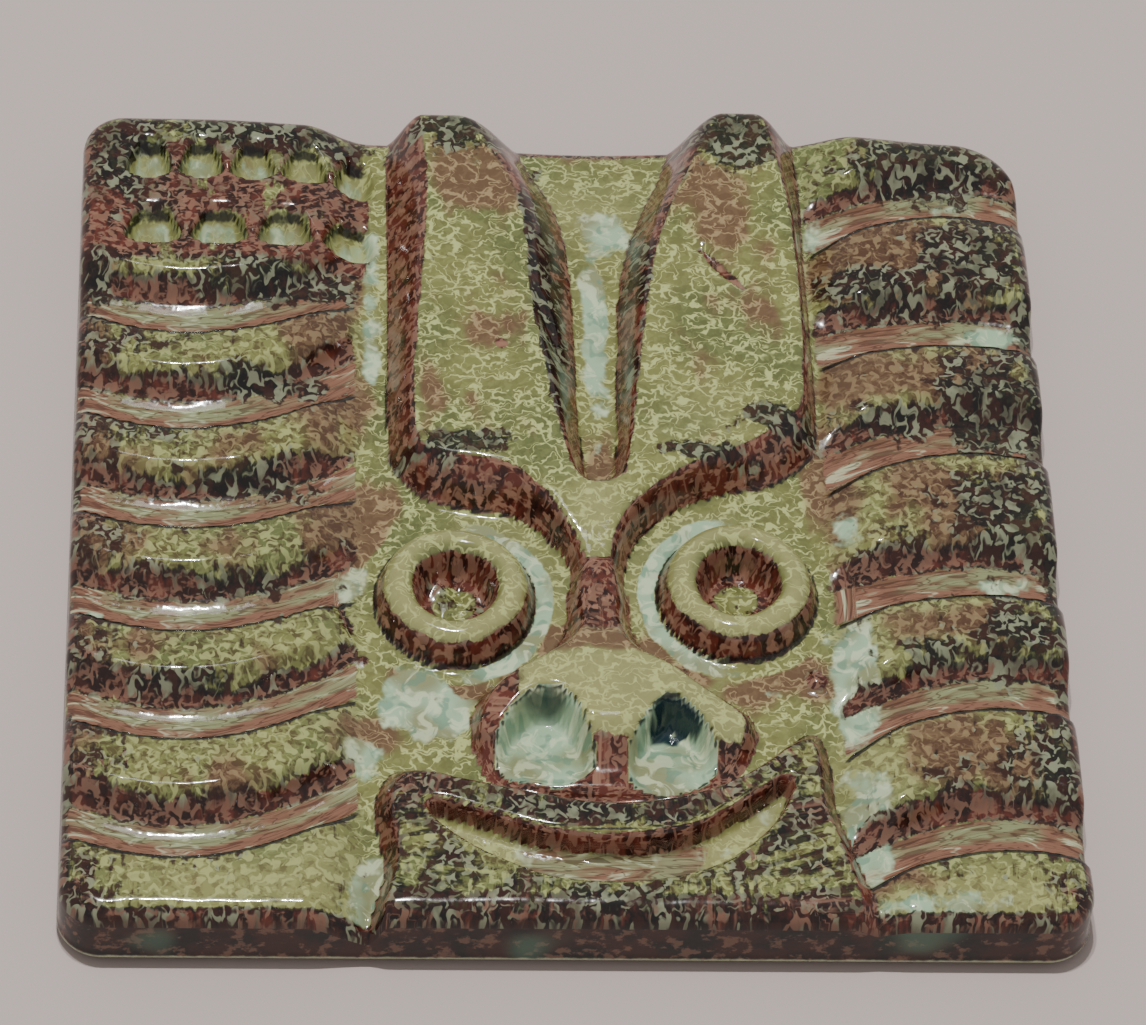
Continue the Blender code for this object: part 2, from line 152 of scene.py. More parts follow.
# Outlines of the raised forms, each as a foot line and the crest line inside it
MASK_FOOT = (
    (-25.3, 80), (-27, 40), (-27.2, 13.5), (-25.4, 6.4), (-21.2, 1.9), (-14.6, -0.1), (-9, -1),
    (-4.4, -3.8), (-1, -8), (0.4, -12.5), (0.2, -19), (4.3, -23), (8.6, -19), (8.5, -14), (9.6, -8),
    (13.1, -2.5), (18.7, 1.3), (25.7, 3.6), (32, 5.2), (37.2, 9.2), (39.2, 15), (39.2, 45), (37.4, 80),
    (22.4, 80), (16.4, 67), (11.9, 55), (9.2, 41), (7.9, 10), (5.4, 4.6), (2.9, 10), (2.3, 46), (0.4, 60),
    (-3.6, 69), (-9.6, 80),
)
MASK_CREST = (
    (-21.6, 80), (-19.8, 60), (-21.4, 36), (-22.6, 20), (-22.4, 10.5), (-19.5, 7), (-10.2, 5.4),
    (-4.6, 1.2), (-0.9, -4.2), (1.9, -9.5), (3.2, -15), (4.3, -20), (5.4, -15), (6.2, -9), (8.6, -3.4),
    (13, 0.8), (19, 5), (26.5, 8.6), (33.6, 14), (36.6, 20), (36.8, 48), (34.8, 63), (31.6, 75), (29.6, 79),
    (27.4, 75), (22.4, 64), (17.8, 53), (14.2, 38), (9.8, 6), (8.2, 1.8), (5, 0.6), (1.6, 1.8), (-0.8, 9),
    (-5.4, 38), (-6.2, 52), (-10, 64), (-14.6, 72), (-18.4, 80),
)
NOSE_FOOT = (
    (0.6, -13), (-1.2, -23), (-5.7, -28), (-10.2, -30.8), (-13.9, -34.4), (-15.4, -40), (-14.6, -45),
    (-11.5, -50.4), (-3, -52.6), (12, -53), (20, -51.6), (24.6, -47.6), (27.2, -42.4), (26.8, -38.2),
    (23.8, -35.2), (13.8, -28.2), (9.6, -23), (8, -13),
)
NOSE_CREST = (
    (4.3, -14), (1.8, -25), (-3.4, -30.2), (-8.4, -33.2), (-11.8, -36.4), (-13.2, -40.8), (-12.6, -44),
    (-9.4, -48.4), (-3, -50), (12, -50.4), (18.6, -49.2), (22.8, -45.6), (24.6, -41.8), (23.6, -38.6),
    (14.4, -32.4), (8.6, -28.2), (6.4, -23),
)
MOUTH_FOOT = (
    (-29.6, -55), (-28.6, -50), (-25.6, -47.2), (-18.8, -48), (-2.8, -52.2), (8.6, -52.6), (17.8, -51.4),
    (25.2, -47.8), (31.6, -42.6), (35.2, -40.2), (37.4, -43), (38.2, -53), (38.6, -82), (-25.2, -82),
    (-28.2, -64),
)
MOUTH_CREST = (
    (-26.2, -55), (-25.2, -52), (-21.8, -50.8), (-16, -52.2), (3, -55.9), (12, -55.3), (20.6, -52.8),
    (27.6, -49), (32.2, -45.4), (34.6, -45.6), (35.4, -54), (35.8, -82), (-22.4, -82), (-25.2, -62),
)

# Outlines of the hollows, each as a rim line and the bed line inside it
SMILE_RIM = (
    (-22.6, -56.4), (-20.4, -54), (-7, -58.4), (2, -59.6), (10, -59.4), (17, -57.8), (24, -53.8),
    (30, -49.8), (32.4, -51.2), (30.2, -57), (26.2, -61.8), (20.4, -66), (13, -68.4), (4.5, -69.2),
    (-4, -68.4), (-11, -65.6), (-17.4, -61.8),
)
SMILE_BED = (
    (-20.4, -56.9), (-18.8, -56.2), (-6.2, -60.8), (2.2, -62.2), (10, -62), (17.4, -60.2), (24.4, -56),
    (29.8, -51.8), (30.8, -52.4), (28.8, -56.6), (25, -60.8), (19.4, -64.6), (12.6, -66.9), (4.5, -67.7),
    (-3.6, -66.9), (-10.2, -64.2), (-16.4, -60.4),
)
NOSTRIL_RIMS = (
    ((-11.8, -43.4), (-9.0, -38.2), (-5.8, -35.9), (-2.0, -35.8), (0.9, -39.2), (2.8, -44.6),
     (2.5, -48.2), (-1.8, -50.9), (-6.4, -50.2), (-10.8, -48.6)),
    ((7.6, -45.4), (9.9, -41.2), (13.4, -37.0), (17.0, -38.2), (20.8, -43.2), (20.8, -47.6),
     (17.4, -50.8), (12.5, -52.0), (8.4, -50.6)),
)
NOSTRIL_BED_SHARE = 0.80
NOSTRIL_BED_DROP = 0.4

# Where the floor sinks or swells: middle, reach, and how far as a share of the slab
FLOOR_SWELLS = (
    (5, 78, 22, -0.32), (40, 74, 8, 0.17), (5.4, 12, 8, 0.12), (-26, -76, 7, -0.42), (-21, -35, 8, -0.08),
    (42, -78, 9, 0.27), (40, -30, 8, 0.08), (44, 20, 14, 0.15),
)

# Marks of the maker's tool: start, end, half width and depth in metres
TOOL_MARKS = (
    ((22.0, 46.5), (28.6, 39.0), 0.9, 0.0011),
    ((-3.6, 36.5), (-0.6, 27.0), 1.2, 0.0016),
    ((-43.0, -18.5), (-42.2, -23.0), 0.4, 0.0006),
    ((-35.4, -17.0), (-32.6, -23.4), 0.5, 0.0007),
)
# Crumbs of clay left under the glaze: middle, radius, height in metres
CRUMBS = ((36.6, -31.0, 1.5, 0.0011), (-9.4, 27.0, 1.0, 0.0003), (-31.0, -27.5, 0.8, 0.0004))

# Where glaze ran together into pale pools: middle, reach across and up, strength
POOLED = (
    (7.5, 56, 6, 6, 0.7), (5.6, 36, 2.6, 20, 0.8), (5.3, 12, 2.2, 6, 0.4), (-21.5, -34.5, 8, 7.5, 1),
    (42, -31, 4.5, 13, 0.9), (-29.5, -70, 4, 9, 0.9), (-32.5, -13, 4.5, 7, 0.5), (-31, -45, 4, 7, 0.55),
    (42.5, -57, 5, 12, 0.75), (43, -4, 3.5, 8, 0.5), (52, -72, 14, 4, 0.55), (29.5, -33, 4, 2.5, 0.4),
    (-29.5, 40, 2.4, 30, 0.55), (42, 55, 4, 12, 0.45), (-56, -72, 14, 3, 0.35), (68, 35.8, 8, 2.6, 0.75),
    (63, 61.5, 12, 2.6, 0.5), (-21, 62, 3, 4, 0.5), (68, 14.5, 7, 2.2, 0.5), (68, -12.5, 8, 2.4, 0.6),
    (-72, -20, 5, 2.4, 0.5),
)
# Where the glaze fired tan or pinkish: middle, reach across and up, strength
TANNED = (
    (-58, -8, 22, 60, 0.3), (-36, 26, 7, 24, 0.85), (-34, -2, 9, 9, 0.95), (-73, 0, 5, 70, 0.8),
    (24, 56, 8, 11, 0.8), (-10, 40, 6, 26, 0.42), (22, 30, 6, 22, 0.36), (5.3, 8.5, 3.5, 6, 1),
    (32, 40, 4, 16, 0.45), (-20, 18, 4, 12, 0.4), (54, 47, 16, 10, 1), (45, 26, 6, 10, 0.85),
    (-12, 12, 6, 8, 0.4), (41, 7, 5, 12, 1), (42, -14, 7, 6, 0.9), (58, 16, 10, 6, 0.6),
    (58, -4, 9, 8, 0.55), (60, -46, 14, 9, 0.75), (-50, -52, 14, 5, 0.5), (60, 24, 14, 8, 0.8),
    (60, 2, 13, 8, 0.75), (58, -22, 12, 6, 0.7), (46, -66, 7, 4, 0.5), (-20, -30.5, 12, 3.5, 0.9),
    (32, -31, 12, 5, 0.9), (-2.5, -24, 3.5, 4, 1), (-8, -30, 4.5, 2.8, 1), (-16, -33, 6, 2.5, 0.9),
    (12.5, -25.5, 3.5, 3.8, 1), (18.5, -30, 4.5, 2.8, 1), (26, -32.5, 6, 2.8, 0.9), (6, -67, 13, 2.5, 0.45),
    (-30, -40, 7, 5, 0.6), (-12, 62, 8, 9, 0.8), (6, 74, 12, 4, 0.4), (-60, -27, 10, 5, 0.5),
    (-24, -30, 4, 10, 0.5), (-46, 10, 10, 5, 0.5),
)
# Where the glaze fired black: middle, reach across and up, strength
DARKENED = (
    (-68, 66, 8, 12, 0.9), (-44, 43, 16, 4, 0.9), (-44, 71, 20, 4, 1), (-14, 71, 10, 6, 0.95),
    (28, 69, 9, 9, 1), (60, 69, 16, 7, 1), (65, 48, 11, 10, 1), (67, 20, 10, 10, 1), (67, -1, 10, 9, 1),
    (67, -24, 9, 7, 0.85), (71, -48, 6, 8, 0.8), (50, 42.5, 10, 4.5, 1), (54, -27, 10, 3, 0.7),
    (60, -48.5, 12, 3, 0.6), (2, -57, 26, 2.2, 0.9), (-22, -72, 6, 9, 0.75), (8, -75, 34, 3, 0.7),
    (4, -71.5, 20, 3.5, 0.75), (-73, 42, 4, 10, 0.7), (31, -62, 4, 10, 0.5), (-21, -56, 3, 8, 0.6),
    (50, 17, 10, 3, 0.8), (50, -5, 6, 3, 0.6), (-16, 8, 9, 3, 1), (22, 7, 7, 2.4, 0.9),
    (32.5, 13.5, 6, 3.4, 1), (-46, 23.5, 14, 2.5, 0.8), (-48, 4.5, 14, 2.5, 0.8),
    (-50, -14.5, 12, 2.5, 0.7), (-56, -33, 12, 2.5, 0.7), (-60, 30, 6, 4, 0.5), (74, 10, 3, 60, 0.9),
    (-60, 10, 8, 3, 0.5),
)
# Where the olive is pale and plain: middle, reach across and up, strength
PALE = (
    (4, -32, 16, 6, 1), (4.5, -4, 5, 9, 0.9), (5, 62, 12, 6, 0.45), (46, 22, 7, 7, 0.6),
    (46, -48, 8, 8, 0.5), (62, -71, 12, 5, 0.7), (-48, -70, 22, 5, 0.6), (-38, -66, 7, 5, 0.5),
    (50, -24, 6, 5, 0.4), (22, 12, 9, 7, 0.35),
)

# Where the glaze changes: stretches from none of it to all of it. LEVELS are heights on the
# sheet. The first three are distances from a band's edges, and the eyes' and sockets' ones from
# an eye's middle.
STRIP_EDGE = (GROOVE_WIDTH + 0.6, GROOVE_WIDTH - 0.9)
STRIP_TAN = (4.2, 2.2)
BAND_TOP_WORN = (3.0, 0.0)
BAND_END_WORN = (61.0, 71.0)
BAND_START = (0.0, 0.35)
SCOOP_FIELD_LEVELS = (43.5, 47.5)
SCOOP_RIDGE_LEVELS = (72.0, 58.0)
EYE_WALL = (9.4, 11.2)
EYE_WALL_ABOVE = (1.2, 0.8)
EYE_HOLE_WALL = (6.9, 5.9)
EYE_HOLE_FOOT = (2.4, 4.2)
EYE_CREST_PALE = (6.0, 8.4)
EYE_BED_POOL = (4.0, 2.0)
EYE_BED_DARK = (5.6, 4.6)
EYE_NOSE_SIDE = (-0.35, 0.35)
SOCKET_EDGE = (SOCKET_REACH, 16.2)
SOCKET_TAN = (14.2, 15.4)
SOCKET_STRIPS = (17.0, 12.5)
MOAT_EDGES = ((16.0, 14.4), (11.6, 12.6))
EAR_CREASE_LEVELS = (50.0, 20.0)
FLANK_REACH = (5.0, 1.5)
FLANK_LEVELS = ((8.0, 16.0), (68.0, 56.0))
BROW_RUST_LEVELS = (-9.0, -16.0)
NOSE_BRIDGE_LEVELS = (-27.5, -22.5)
NOSE_TAN_LEVELS = (-32.0, -26.5)
NOSE_FOOT_LEVELS = (-41.5, -45.5)
NOSE_LEFT_WING = (-6.5, -10.0)
UPPER_LIP_LEVELS = (-63.0, -57.0)
LOWER_LIP_LEVELS = (-69.0, -72.0)
SMILE_MIDDLE = 5.0
SMILE_STREAKS = (20.0, 8.0)

# A form's own glaze starts over this share of its wall, and a wall counts as so many squares
WALL_START = 0.06
WALL_SQUARES = 6.0
# Dark lines of painted shade in creases and under edges, partly a dark glaze line:
# their place and half width, past a band's edge or up a form's wall
BAND_CREST_LINE = (1.2, 0.62)
BAND_FOOT_LINE = (GROOVE_WIDTH, 0.5)
EYE_FOOT_LINE = (EYE_RADIUS, 0.40)
EYE_HOLE_LINE = (0.2, 0.42)
FORM_FOOT_LINE = (0.05, 0.08)
LIP_FOOT_LINE = (0.05, 0.07)
SMILE_RIM_LINE = (0.06, 0.10)
NOSTRIL_RIM_LINE = (0.10, 0.20)

# Fineness of the tile's mesh
NET_CELLS = 284
RIM_CLOSENESS = 0.28
ROUNDED_RINGS = (0.78, 1.0)
CURVE_STEPS = 6

# The swell dies out this near the rim; and where on the rounded edge the glaze thins and strips end
CALM_RIM = 0.002
EDGE_THIN = (0.30, 0.75)
EDGE_STRIP_END = (0.80, 1.0)

# The rim from the face to the back: depth from the back, then how far it stands out
GLAZE_END = 0.0012
GLAZE_ROLL = (0.0021, 0.0016)
RIM_PROFILE = (
    (0.0030, 0.00006), (0.0022, 0.00022), (0.0017, 0.00034), (0.0013, 0.00022),
    (GLAZE_END, -0.00022), (0.0006, -0.00030), (0.0000, -0.00080),
)

# The photograph's camera, solved from the tile's own outline
CAMERA_AZIMUTH = math.radians(-4.755)
CAMERA_ELEVATION = math.radians(-36.361)
CAMERA_ROLL = math.radians(-2.140)
CAMERA_DISTANCE = 0.787085
CAMERA_AIM = Vector((0.001853, 0.0, 0.006306))
CAMERA_LENS = 160.0
SENSOR_WIDTH = 36.0

# Lamps: name, azimuth and elevation in degrees, distance, width, height, and whose power it has
LAMPS = (
    ("key_lamp_left", -5.0, 1.5, 0.95, 0.014, 0.012, "key"),
    ("key_lamp_right", -2.2, 1.5, 0.95, 0.014, 0.012, "key"),
    ("soft_lamp", -4.0, 8.0, 1.3, 0.30, 0.22, "soft"),
)
SKY_COLOUR = (1.0, 0.98, 0.97, 1.0)

GLAZE_IOR = 1.47
# How far the pale threads wander, in metres
THREAD_WANDER = (0.0034, 0.0034, 0.0034)
# The glaze's colours and the painted shadow's colour, named as in the settings
HUES = (
    "olive", "moss", "celadon", "thread", "tan", "rust", "umber", "mauve", "black", "squiggle", "mint",
    "lagoon", "foam", "blush", "sage", "slate")


def colour(name, description, red, green, blue):
    """A colour setting, given as it looks on screen."""
    linear = [channel / 12.92 if channel <= 0.04045 else ((channel + 0.055) / 1.055) ** 2.4
              for channel in (red, green, blue)]
    return bpy.props.FloatVectorProperty(
        name=name, description=description, subtype="COLOR", size=3, min=0.0, max=1.0, default=linear)


def size(name, description, default, least=0.0):
    """A size setting in metres."""
    return bpy.props.FloatProperty(
        name=name, description=description, default=default, min=least, subtype="DISTANCE",
        unit="LENGTH")


def amount(name, description, default):
    return bpy.props.FloatProperty(name=name, description=description, default=default, min=0.0)


class TileGlazeSettings(bpy.types.PropertyGroup):
    """Colours and finish of the tile's glazes, and the colour of the painted shadow under the nostrils."""
    olive: colour("Olive", "Thick glaze on the raised faces", 0.425, 0.43, 0.245)
    moss: colour("Moss", "The olive's darker drifts", 0.34, 0.365, 0.205)
    celadon: colour("Celadon", "The olive where it is pale and plain", 0.57, 0.56, 0.37)
    thread: colour("Thread", "Pale lines that net the olive", 0.66, 0.68, 0.44)
    tan: colour("Tan", "Where the olive fired brown", 0.37, 0.27, 0.195)
    rust: colour("Rust", "Thin glaze on walls and edges", 0.33, 0.15, 0.11)
    umber: colour("Umber", "The rust's darker drifts", 0.20, 0.09, 0.065)
    mauve: colour("Mauve", "Pale flecks in the rust", 0.52, 0.38, 0.31)
    # Black is also the colour of the painted shade in creases.
    black: colour("Black", "Ragged line between olive and rust", 0.045, 0.04, 0.04)
    squiggle: colour("Squiggle", "Grey-green threads over black", 0.46, 0.48, 0.39)
    mint: colour("Mint", "Glaze pooled in the low places", 0.57, 0.67, 0.55)
    lagoon: colour("Lagoon", "Darker spots in the pools", 0.34, 0.48, 0.40)
    foam: colour("Foam", "Pale rims of the pools", 0.78, 0.81, 0.66)
    blush: colour("Blush", "Pinkish streaks along the grooves", 0.47, 0.33, 0.26)
    sage: colour("Sage", "Greenish streaks along the grooves", 0.48, 0.495, 0.36)
    # Painted shadow: the dark blue put under the nostrils' overhanging arches.
    slate: colour("Slate", "Dark blue under the nostrils' arches", 0.10, 0.17, 0.19)
    biscuit: colour("Biscuit", "Bare fired clay on the back", 0.66, 0.50, 0.40)
    gloss: amount("Gloss", "Roughness of the thick glaze", 0.065)
    swell: size("Swell", "How far the hand-pressed surface waves in and out", 0.00022)


class TileStageSettings(bpy.types.PropertyGroup):
    """The wall and the lamps."""
    wall_size: size("Wall Size", "Width and height of the wall", 2.4, 0.3)
    wall_gap: size("Wall Gap", "Bed of the tile on the wall", 0.0004)
    opening: size("Opening", "How far the wall reaches in behind the tile", 0.0050)
    wall: colour("Wall", "Plain pale wall", 0.695, 0.645, 0.625)
    key: amount("Key Lamps", "Power of each of the two small lamps in front", 4.6)
    soft: amount("Soft Lamp", "Power of the wide soft lamp in front", 1.2)
    sky: amount("Sky", "Strength of the even light from all sides", 0.56)


def smooth(t):
    """Level, steep, level: a soft step from 0 to 1."""
    t = np.clip(t, 0.0, 1.0)
    return t * t * (3.0 - 2.0 * t)


def between(value, stretch):
    """A soft step from 0 at the start of a stretch to 1 at its end."""
    return smooth((value - stretch[0]) / (stretch[1] - stretch[0]))


def hill(value, middle, reach):
    """1 at the middle, falling away to both sides."""
    return np.exp(-((value - middle) / reach) ** 2)


def shoulder(t, power):
    """Steep at the foot and level at the crest."""
    return 1.0 - (1.0 - np.clip(t, 0.0, 1.0)) ** power


def spline(points):
    """A smooth closed line through the points."""
    here = np.array(points, float)
    before = np.roll(here, 1, 0)
    after = np.roll(here, -1, 0)
    beyond = np.roll(here, -2, 0)
    rows = []
    for step in range(CURVE_STEPS):
        t = step / CURVE_STEPS
        linear = (after - before) * t
        square = (2 * before - 5 * here + 4 * after - beyond) * t ** 2
        cube = (3 * here - before - 3 * after + beyond) * t ** 3
        rows.append(0.5 * (2 * here + linear + square + cube))
    return np.stack(rows, 1).reshape(-1, 2)


def depth_inside(u, v, line):
    """How far inside the closed line a place is, below 0 outside it, and how far along the line."""
    nearest = np.full(u.shape, np.inf)
    run = np.zeros(u.shape)
    odd = np.zeros(u.shape, bool)
    passed = 0.0
    for (au, av), (bu, bv) in zip(line, np.roll(line, -1, 0)):
        run_u = bu - au
        run_v = bv - av
        length = math.hypot(run_u, run_v)
        along = np.clip(((u - au) * run_u + (v - av) * run_v) / length ** 2, 0.0, 1.0)
        reach = (u - au - along * run_u) ** 2 + (v - av - along * run_v) ** 2
        run = np.where(reach < nearest, passed + along * length, run)
        nearest = np.minimum(nearest, reach)
        passed += length
        if run_v:
            odd ^= ((v < av) != (v < bv)) & (u < au + (v - av) * run_u / run_v)
    return np.where(odd, 1.0, -1.0) * np.sqrt(nearest), run


def loft(u, v, outer, inner):
    """0 outside the outer line, 1 inside the inner one; and how far along the outer line a place is."""
    inward, run = depth_inside(u, v, spline(outer))
    passed = np.maximum(inward, 0.0)
    left = np.maximum(-depth_inside(u, v, spline(inner))[0], 0.0)
    return passed / (passed + left + 1e-9), run


def spots(u, v, places):
    """Soft round or long spots, each with its own strength; the strongest one counts."""
    share = np.zeros(u.shape)
    for middle_u, middle_v, reach_u, reach_v, strength in places:
        square = ((u - middle_u) / reach_u) ** 2 + ((v - middle_v) / reach_v) ** 2
        share = np.maximum(share, strength * np.exp(-square))
    return share


def waves(u, v, size, seed):
    """Seeded soft noise between -1 and 1 with bumps about so many squares apart."""
    cells = int(math.ceil(SHEET * 1.4 / size)) + 4
    values = np.random.default_rng(seed).uniform(-1.0, 1.0, (cells, cells))
    across = (u + SHEET * 0.7) / size
    up = (v + SHEET * 0.7) / size
    column = np.floor(across).astype(int)
    row = np.floor(up).astype(int)
    right = smooth(across - column)
    over = smooth(up - row)
    low = values[row, column] * (1 - right) + values[row, column + 1] * right
    high = values[row + 1, column] * (1 - right) + values[row + 1, column + 1] * right
    return low * (1 - over) + high * over


def band_edge(u, turn, side, level, rise):
    """The level of a band's upper edge: it turns up or down on both sides of its middle."""
    off = (u - turn) * side
    inward = np.maximum(-off, 0.0) / INWARD_REACH
    outward = np.maximum(off, 0.0) / OUTWARD_REACH
    return level + rise * inward ** INWARD_CURVE + np.sign(rise) * OUTWARD_TURN * outward ** 2


def mane(u, v, turn, side, bands):
    """The bands of one side: share of their rise, dip of the grooves, and places within a band."""
    edges = [band_edge(u, turn, side, level, rise) for level, rise in bands]
    edges = [np.full(u.shape, 1e3)] + edges + [np.full(u.shape, -1e3)]
    share = np.zeros(u.shape)
    dip = np.zeros(u.shape)
    under = np.full(u.shape, 1e3)
    over = np.full(u.shape, 1e3)
    for upper, lower in zip(edges, edges[1:]):
        below = upper - v
        above = v - lower
        rise = smooth(below / BAND_LIP + 0.25)
        rise *= 1.0 - BAND_CROWN_SHARE * (1.0 - smooth(below / BAND_CROWN))
        fall = smooth((above - GROOVE_WIDTH) / BAND_WALL)
        share = np.maximum(share, np.where(above > 0, rise * fall, 0.0))
        across = np.clip(above / GROOVE_WIDTH, 0.0, 1.0)
        dip = np.maximum(dip, 4 * across * (1 - across))
        within = (above > 0) & (below > 0)
        over = np.where(within, above, over)
        under = np.where(within, below, under)
    return share, dip, over, under


def scoops(u, v):
    """Rows of pointed thumb scoops, deepest just above their round lower rims."""
    depth = np.zeros(u.shape)
    for (base, first, pitch, tall), count in zip(SCOOP_ROWS, SCOOPS_IN_ROW):
        for place in range(count):
            across = (u - first - place * pitch) / (SCOOP_HALF_SHARE * pitch)
            up = (v - base - SCOOP_SMILE * across ** 2) / tall
            narrowing = np.clip(1.0 - up, 0.0, 1.0) ** SCOOP_POINT + 1e-6
            room = np.clip(1.0 - np.abs(across) / narrowing, 0.0, 1.0)
            rim = smooth(up / SCOOP_RIM_SHARE)
            sides = smooth(room / SCOOP_SIDE_SHARE)
            fall = smooth((1.0 - up) / SCOOP_FALL_SHARE)
            depth = np.maximum(depth, rim * sides * fall)
    return depth


class Relief:
    """The carved face over a set of places: its height, and what the glaze did there.

    Each layer runs from 0 to 1: thin where the glaze ran off, line for painted shade
    in creases and under edges (partly a dark glaze line), groove on the strips between
    bands, pool, tanned, dark and pale where it fired so, fine where its threads are close,
    and one for the painted shadow under the nostrils' arches. run and across are
    coordinates along and over the forms' edges.
    """

    LAYERS = (
        "thin", "line", "groove", "pool", "tanned", "dark", "pale", "fine", "slate", "run", "across")

    def __init__(self, u, v):
        self.u = u
        self.v = v
        for name in self.LAYERS:
            setattr(self, name, np.zeros(u.shape))
        for name, places in (("pool", POOLED), ("tanned", TANNED), ("dark", DARKENED), ("pale", PALE)):
            setattr(self, name, spots(u, v, places))
        self.run = u
        self.across = v
        self.height = np.full(u.shape, SLAB_THICKNESS)
        for middle_u, middle_v, reach, rise in FLOOR_SWELLS:
            near = np.exp(-((u - middle_u) ** 2 + (v - middle_v) ** 2) / reach ** 2)
            self.height += rise * SLAB_THICKNESS * near
        self.manes()
        self.corner()
        for middle in EYE_CENTRES:
            self.eye(*middle)
        self.mask()
        self.nose()
        self.mouth()
        self.smile()
        for rim in NOSTRIL_RIMS:
            self.nostril(np.array(rim))
        self.marks()

    def raise_to(self, **layers):
        """Each layer is at least so much."""
        for name, value in layers.items():
            setattr(self, name, np.maximum(getattr(self, name), value))

    def keep(self, **layers):
        """Each layer keeps only so much of itself."""
        for name, share in layers.items():
            setattr(self, name, getattr(self, name) * share)

    def put(self, where, **layers):
        """Each layer gets a new value where a form stands."""
        for name, value in layers.items():
            setattr(self, name, np.where(where, value, getattr(self, name)))

    def cover(self, t, run, thin, line, pool=0.0, fine=0.0):
        """A form's own glaze, and the painted shade line at its foot or rim, take over where the form
        stands.
        """
        here = smooth(t / WALL_START)
        for name, value in (("thin", thin), ("groove", 0.0), ("pool", pool), ("fine", fine)):
            setattr(self, name, getattr(self, name) * (1 - here) + value * here)
        self.keep(line=1 - here)
        self.raise_to(line=line * (t > 0))
        self.put(t > 0, run=run, across=t * WALL_SQUARES)

    def lift(self, t, top, power):
        share = SOFT_FOOT * smooth(t) + (1.0 - SOFT_FOOT) * shoulder(t, power)
        self.height = np.maximum(self.height, self.height + (top - self.height) * share)

    def sink(self, t, bottom, power):
        self.height = self.height + (bottom - self.height) * t ** power

    def manes(self):
        u, v, ground = self.u, self.v, self.height
        plain_top = SLAB_THICKNESS + BAND_RISE
        rise = CORNER_BAND_RISE * between(v, CORNER_LEVELS) * between(u, CORNER_REACH)
        sag = CORNER_SAG * between(u + v, SAG_REACH)
        sides = (
            (LEFT_TURN, -1.0, LEFT_BANDS, between(u, LEFT_FADE), plain_top + rise, u < 0),
            (RIGHT_TURN, 1.0, RIGHT_BANDS, between(u, RIGHT_FADE), plain_top - sag, u >= 0),
        )
        for turn, side, bands, near, top, mine in sides:
            share, dip, over, under = mane(u, v, turn, side, bands)
            made = ground + ((top - ground) * share - GROOVE_DEPTH * dip) * near
            self.put(mine, height=made, across=over)
            self.mane_glaze(over, under, between(near, BAND_START) * mine)

    def mane_glaze(self, over, under, shown):
        groove = between(over, STRIP_EDGE)
        lower = BAND_WALL * (0.72 + 0.45 * waves(self.u, self.v, 9.0, 21))
        wall = 0.85 * between(over, (GROOVE_WIDTH + lower + 1.2, GROOVE_WIDTH + 0.4 * lower))
        body = 0.13 + 0.25 * between(under, BAND_TOP_WORN) + 0.25 * between(np.abs(self.u), BAND_END_WORN)
        # Painted shade: a dark line near each band's upper edge, and a fainter one at the foot of its wall.
        line = np.maximum(hill(under, *BAND_CREST_LINE), 0.45 * hill(over, *BAND_FOOT_LINE))
        self.raise_to(
            groove=groove * shown, thin=np.maximum(wall, body) * (1.0 - groove) * shown,
            line=line * shown, tanned=0.9 * between(over, STRIP_TAN) * groove * shown, fine=shown)

    def corner(self):
        """The field of scoops in the top left corner."""
        scoop = scoops(self.u, self.v)
        field = between(self.u, SCOOP_END)
        self.height = self.height - SCOOP_DEPTH * scoop * field
        rows = between(self.v, SCOOP_FIELD_LEVELS) * field
        ridge = 0.42 + 0.30 * between(self.v, SCOOP_RIDGE_LEVELS) + 0.25 * waves(self.u, self.v, 4.0, 8)
        floor = smooth(scoop * 2.4 - 0.65) * rows
        rim = smooth(scoop * 3.0) * (1 - smooth(scoop * 3.0 - 1.0)) * rows
        self.keep(thin=1 - rows, fine=1 - 0.7 * rows, dark=1 - floor, line=1 - 0.8 * rows)
        # Painted shade: a dark line round each scoop's rim.
        self.raise_to(
            thin=rows * (ridge - smooth(scoop * 1.5)), pool=0.44 * floor, pale=floor, line=0.75 * rim)

    def eye(self, middle_u, middle_v):
        across = self.u - middle_u
        up = self.v - middle_v
        angle = np.arctan2(up, across)
        uneven = 0.30 * np.cos(3 * angle + middle_u) + 0.20 * np.cos(5 * angle + 1.0)
        uneven += 0.28 * np.cos(4 * (angle - 0.1)) * (middle_u > 0)
        r = np.hypot(across, up)
        hole = EYE_HOLE_RADIUS + 0.6 * uneven
        within = r < EYE_CREST_RADIUS
        inner = shoulder((r - hole) / (EYE_CREST_RADIUS - hole), EYE_INNER_SHOULDER)
        outer = shoulder((EYE_RADIUS - r) / (EYE_RADIUS - EYE_CREST_RADIUS), EYE_OUTER_SHOULDER)
        bed = SLAB_THICKNESS - EYE_DEPTH + 0.0009 * waves(self.u, self.v, 2.6, 11)
        crest = SLAB_THICKNESS + EYE_RISE + 0.0002 * np.sin(2 * angle + middle_v)
        foot = np.where(within, bed, self.height)
        self.put(r < EYE_RADIUS, height=foot + (crest - foot) * np.where(within, inner, outer))
        toward_nose = np.sign(NOSE_MIDDLE - middle_u) * across / (r + 1e-6)
        self.eye_glaze(r, angle, hole, between(toward_nose, EYE_NOSE_SIDE))

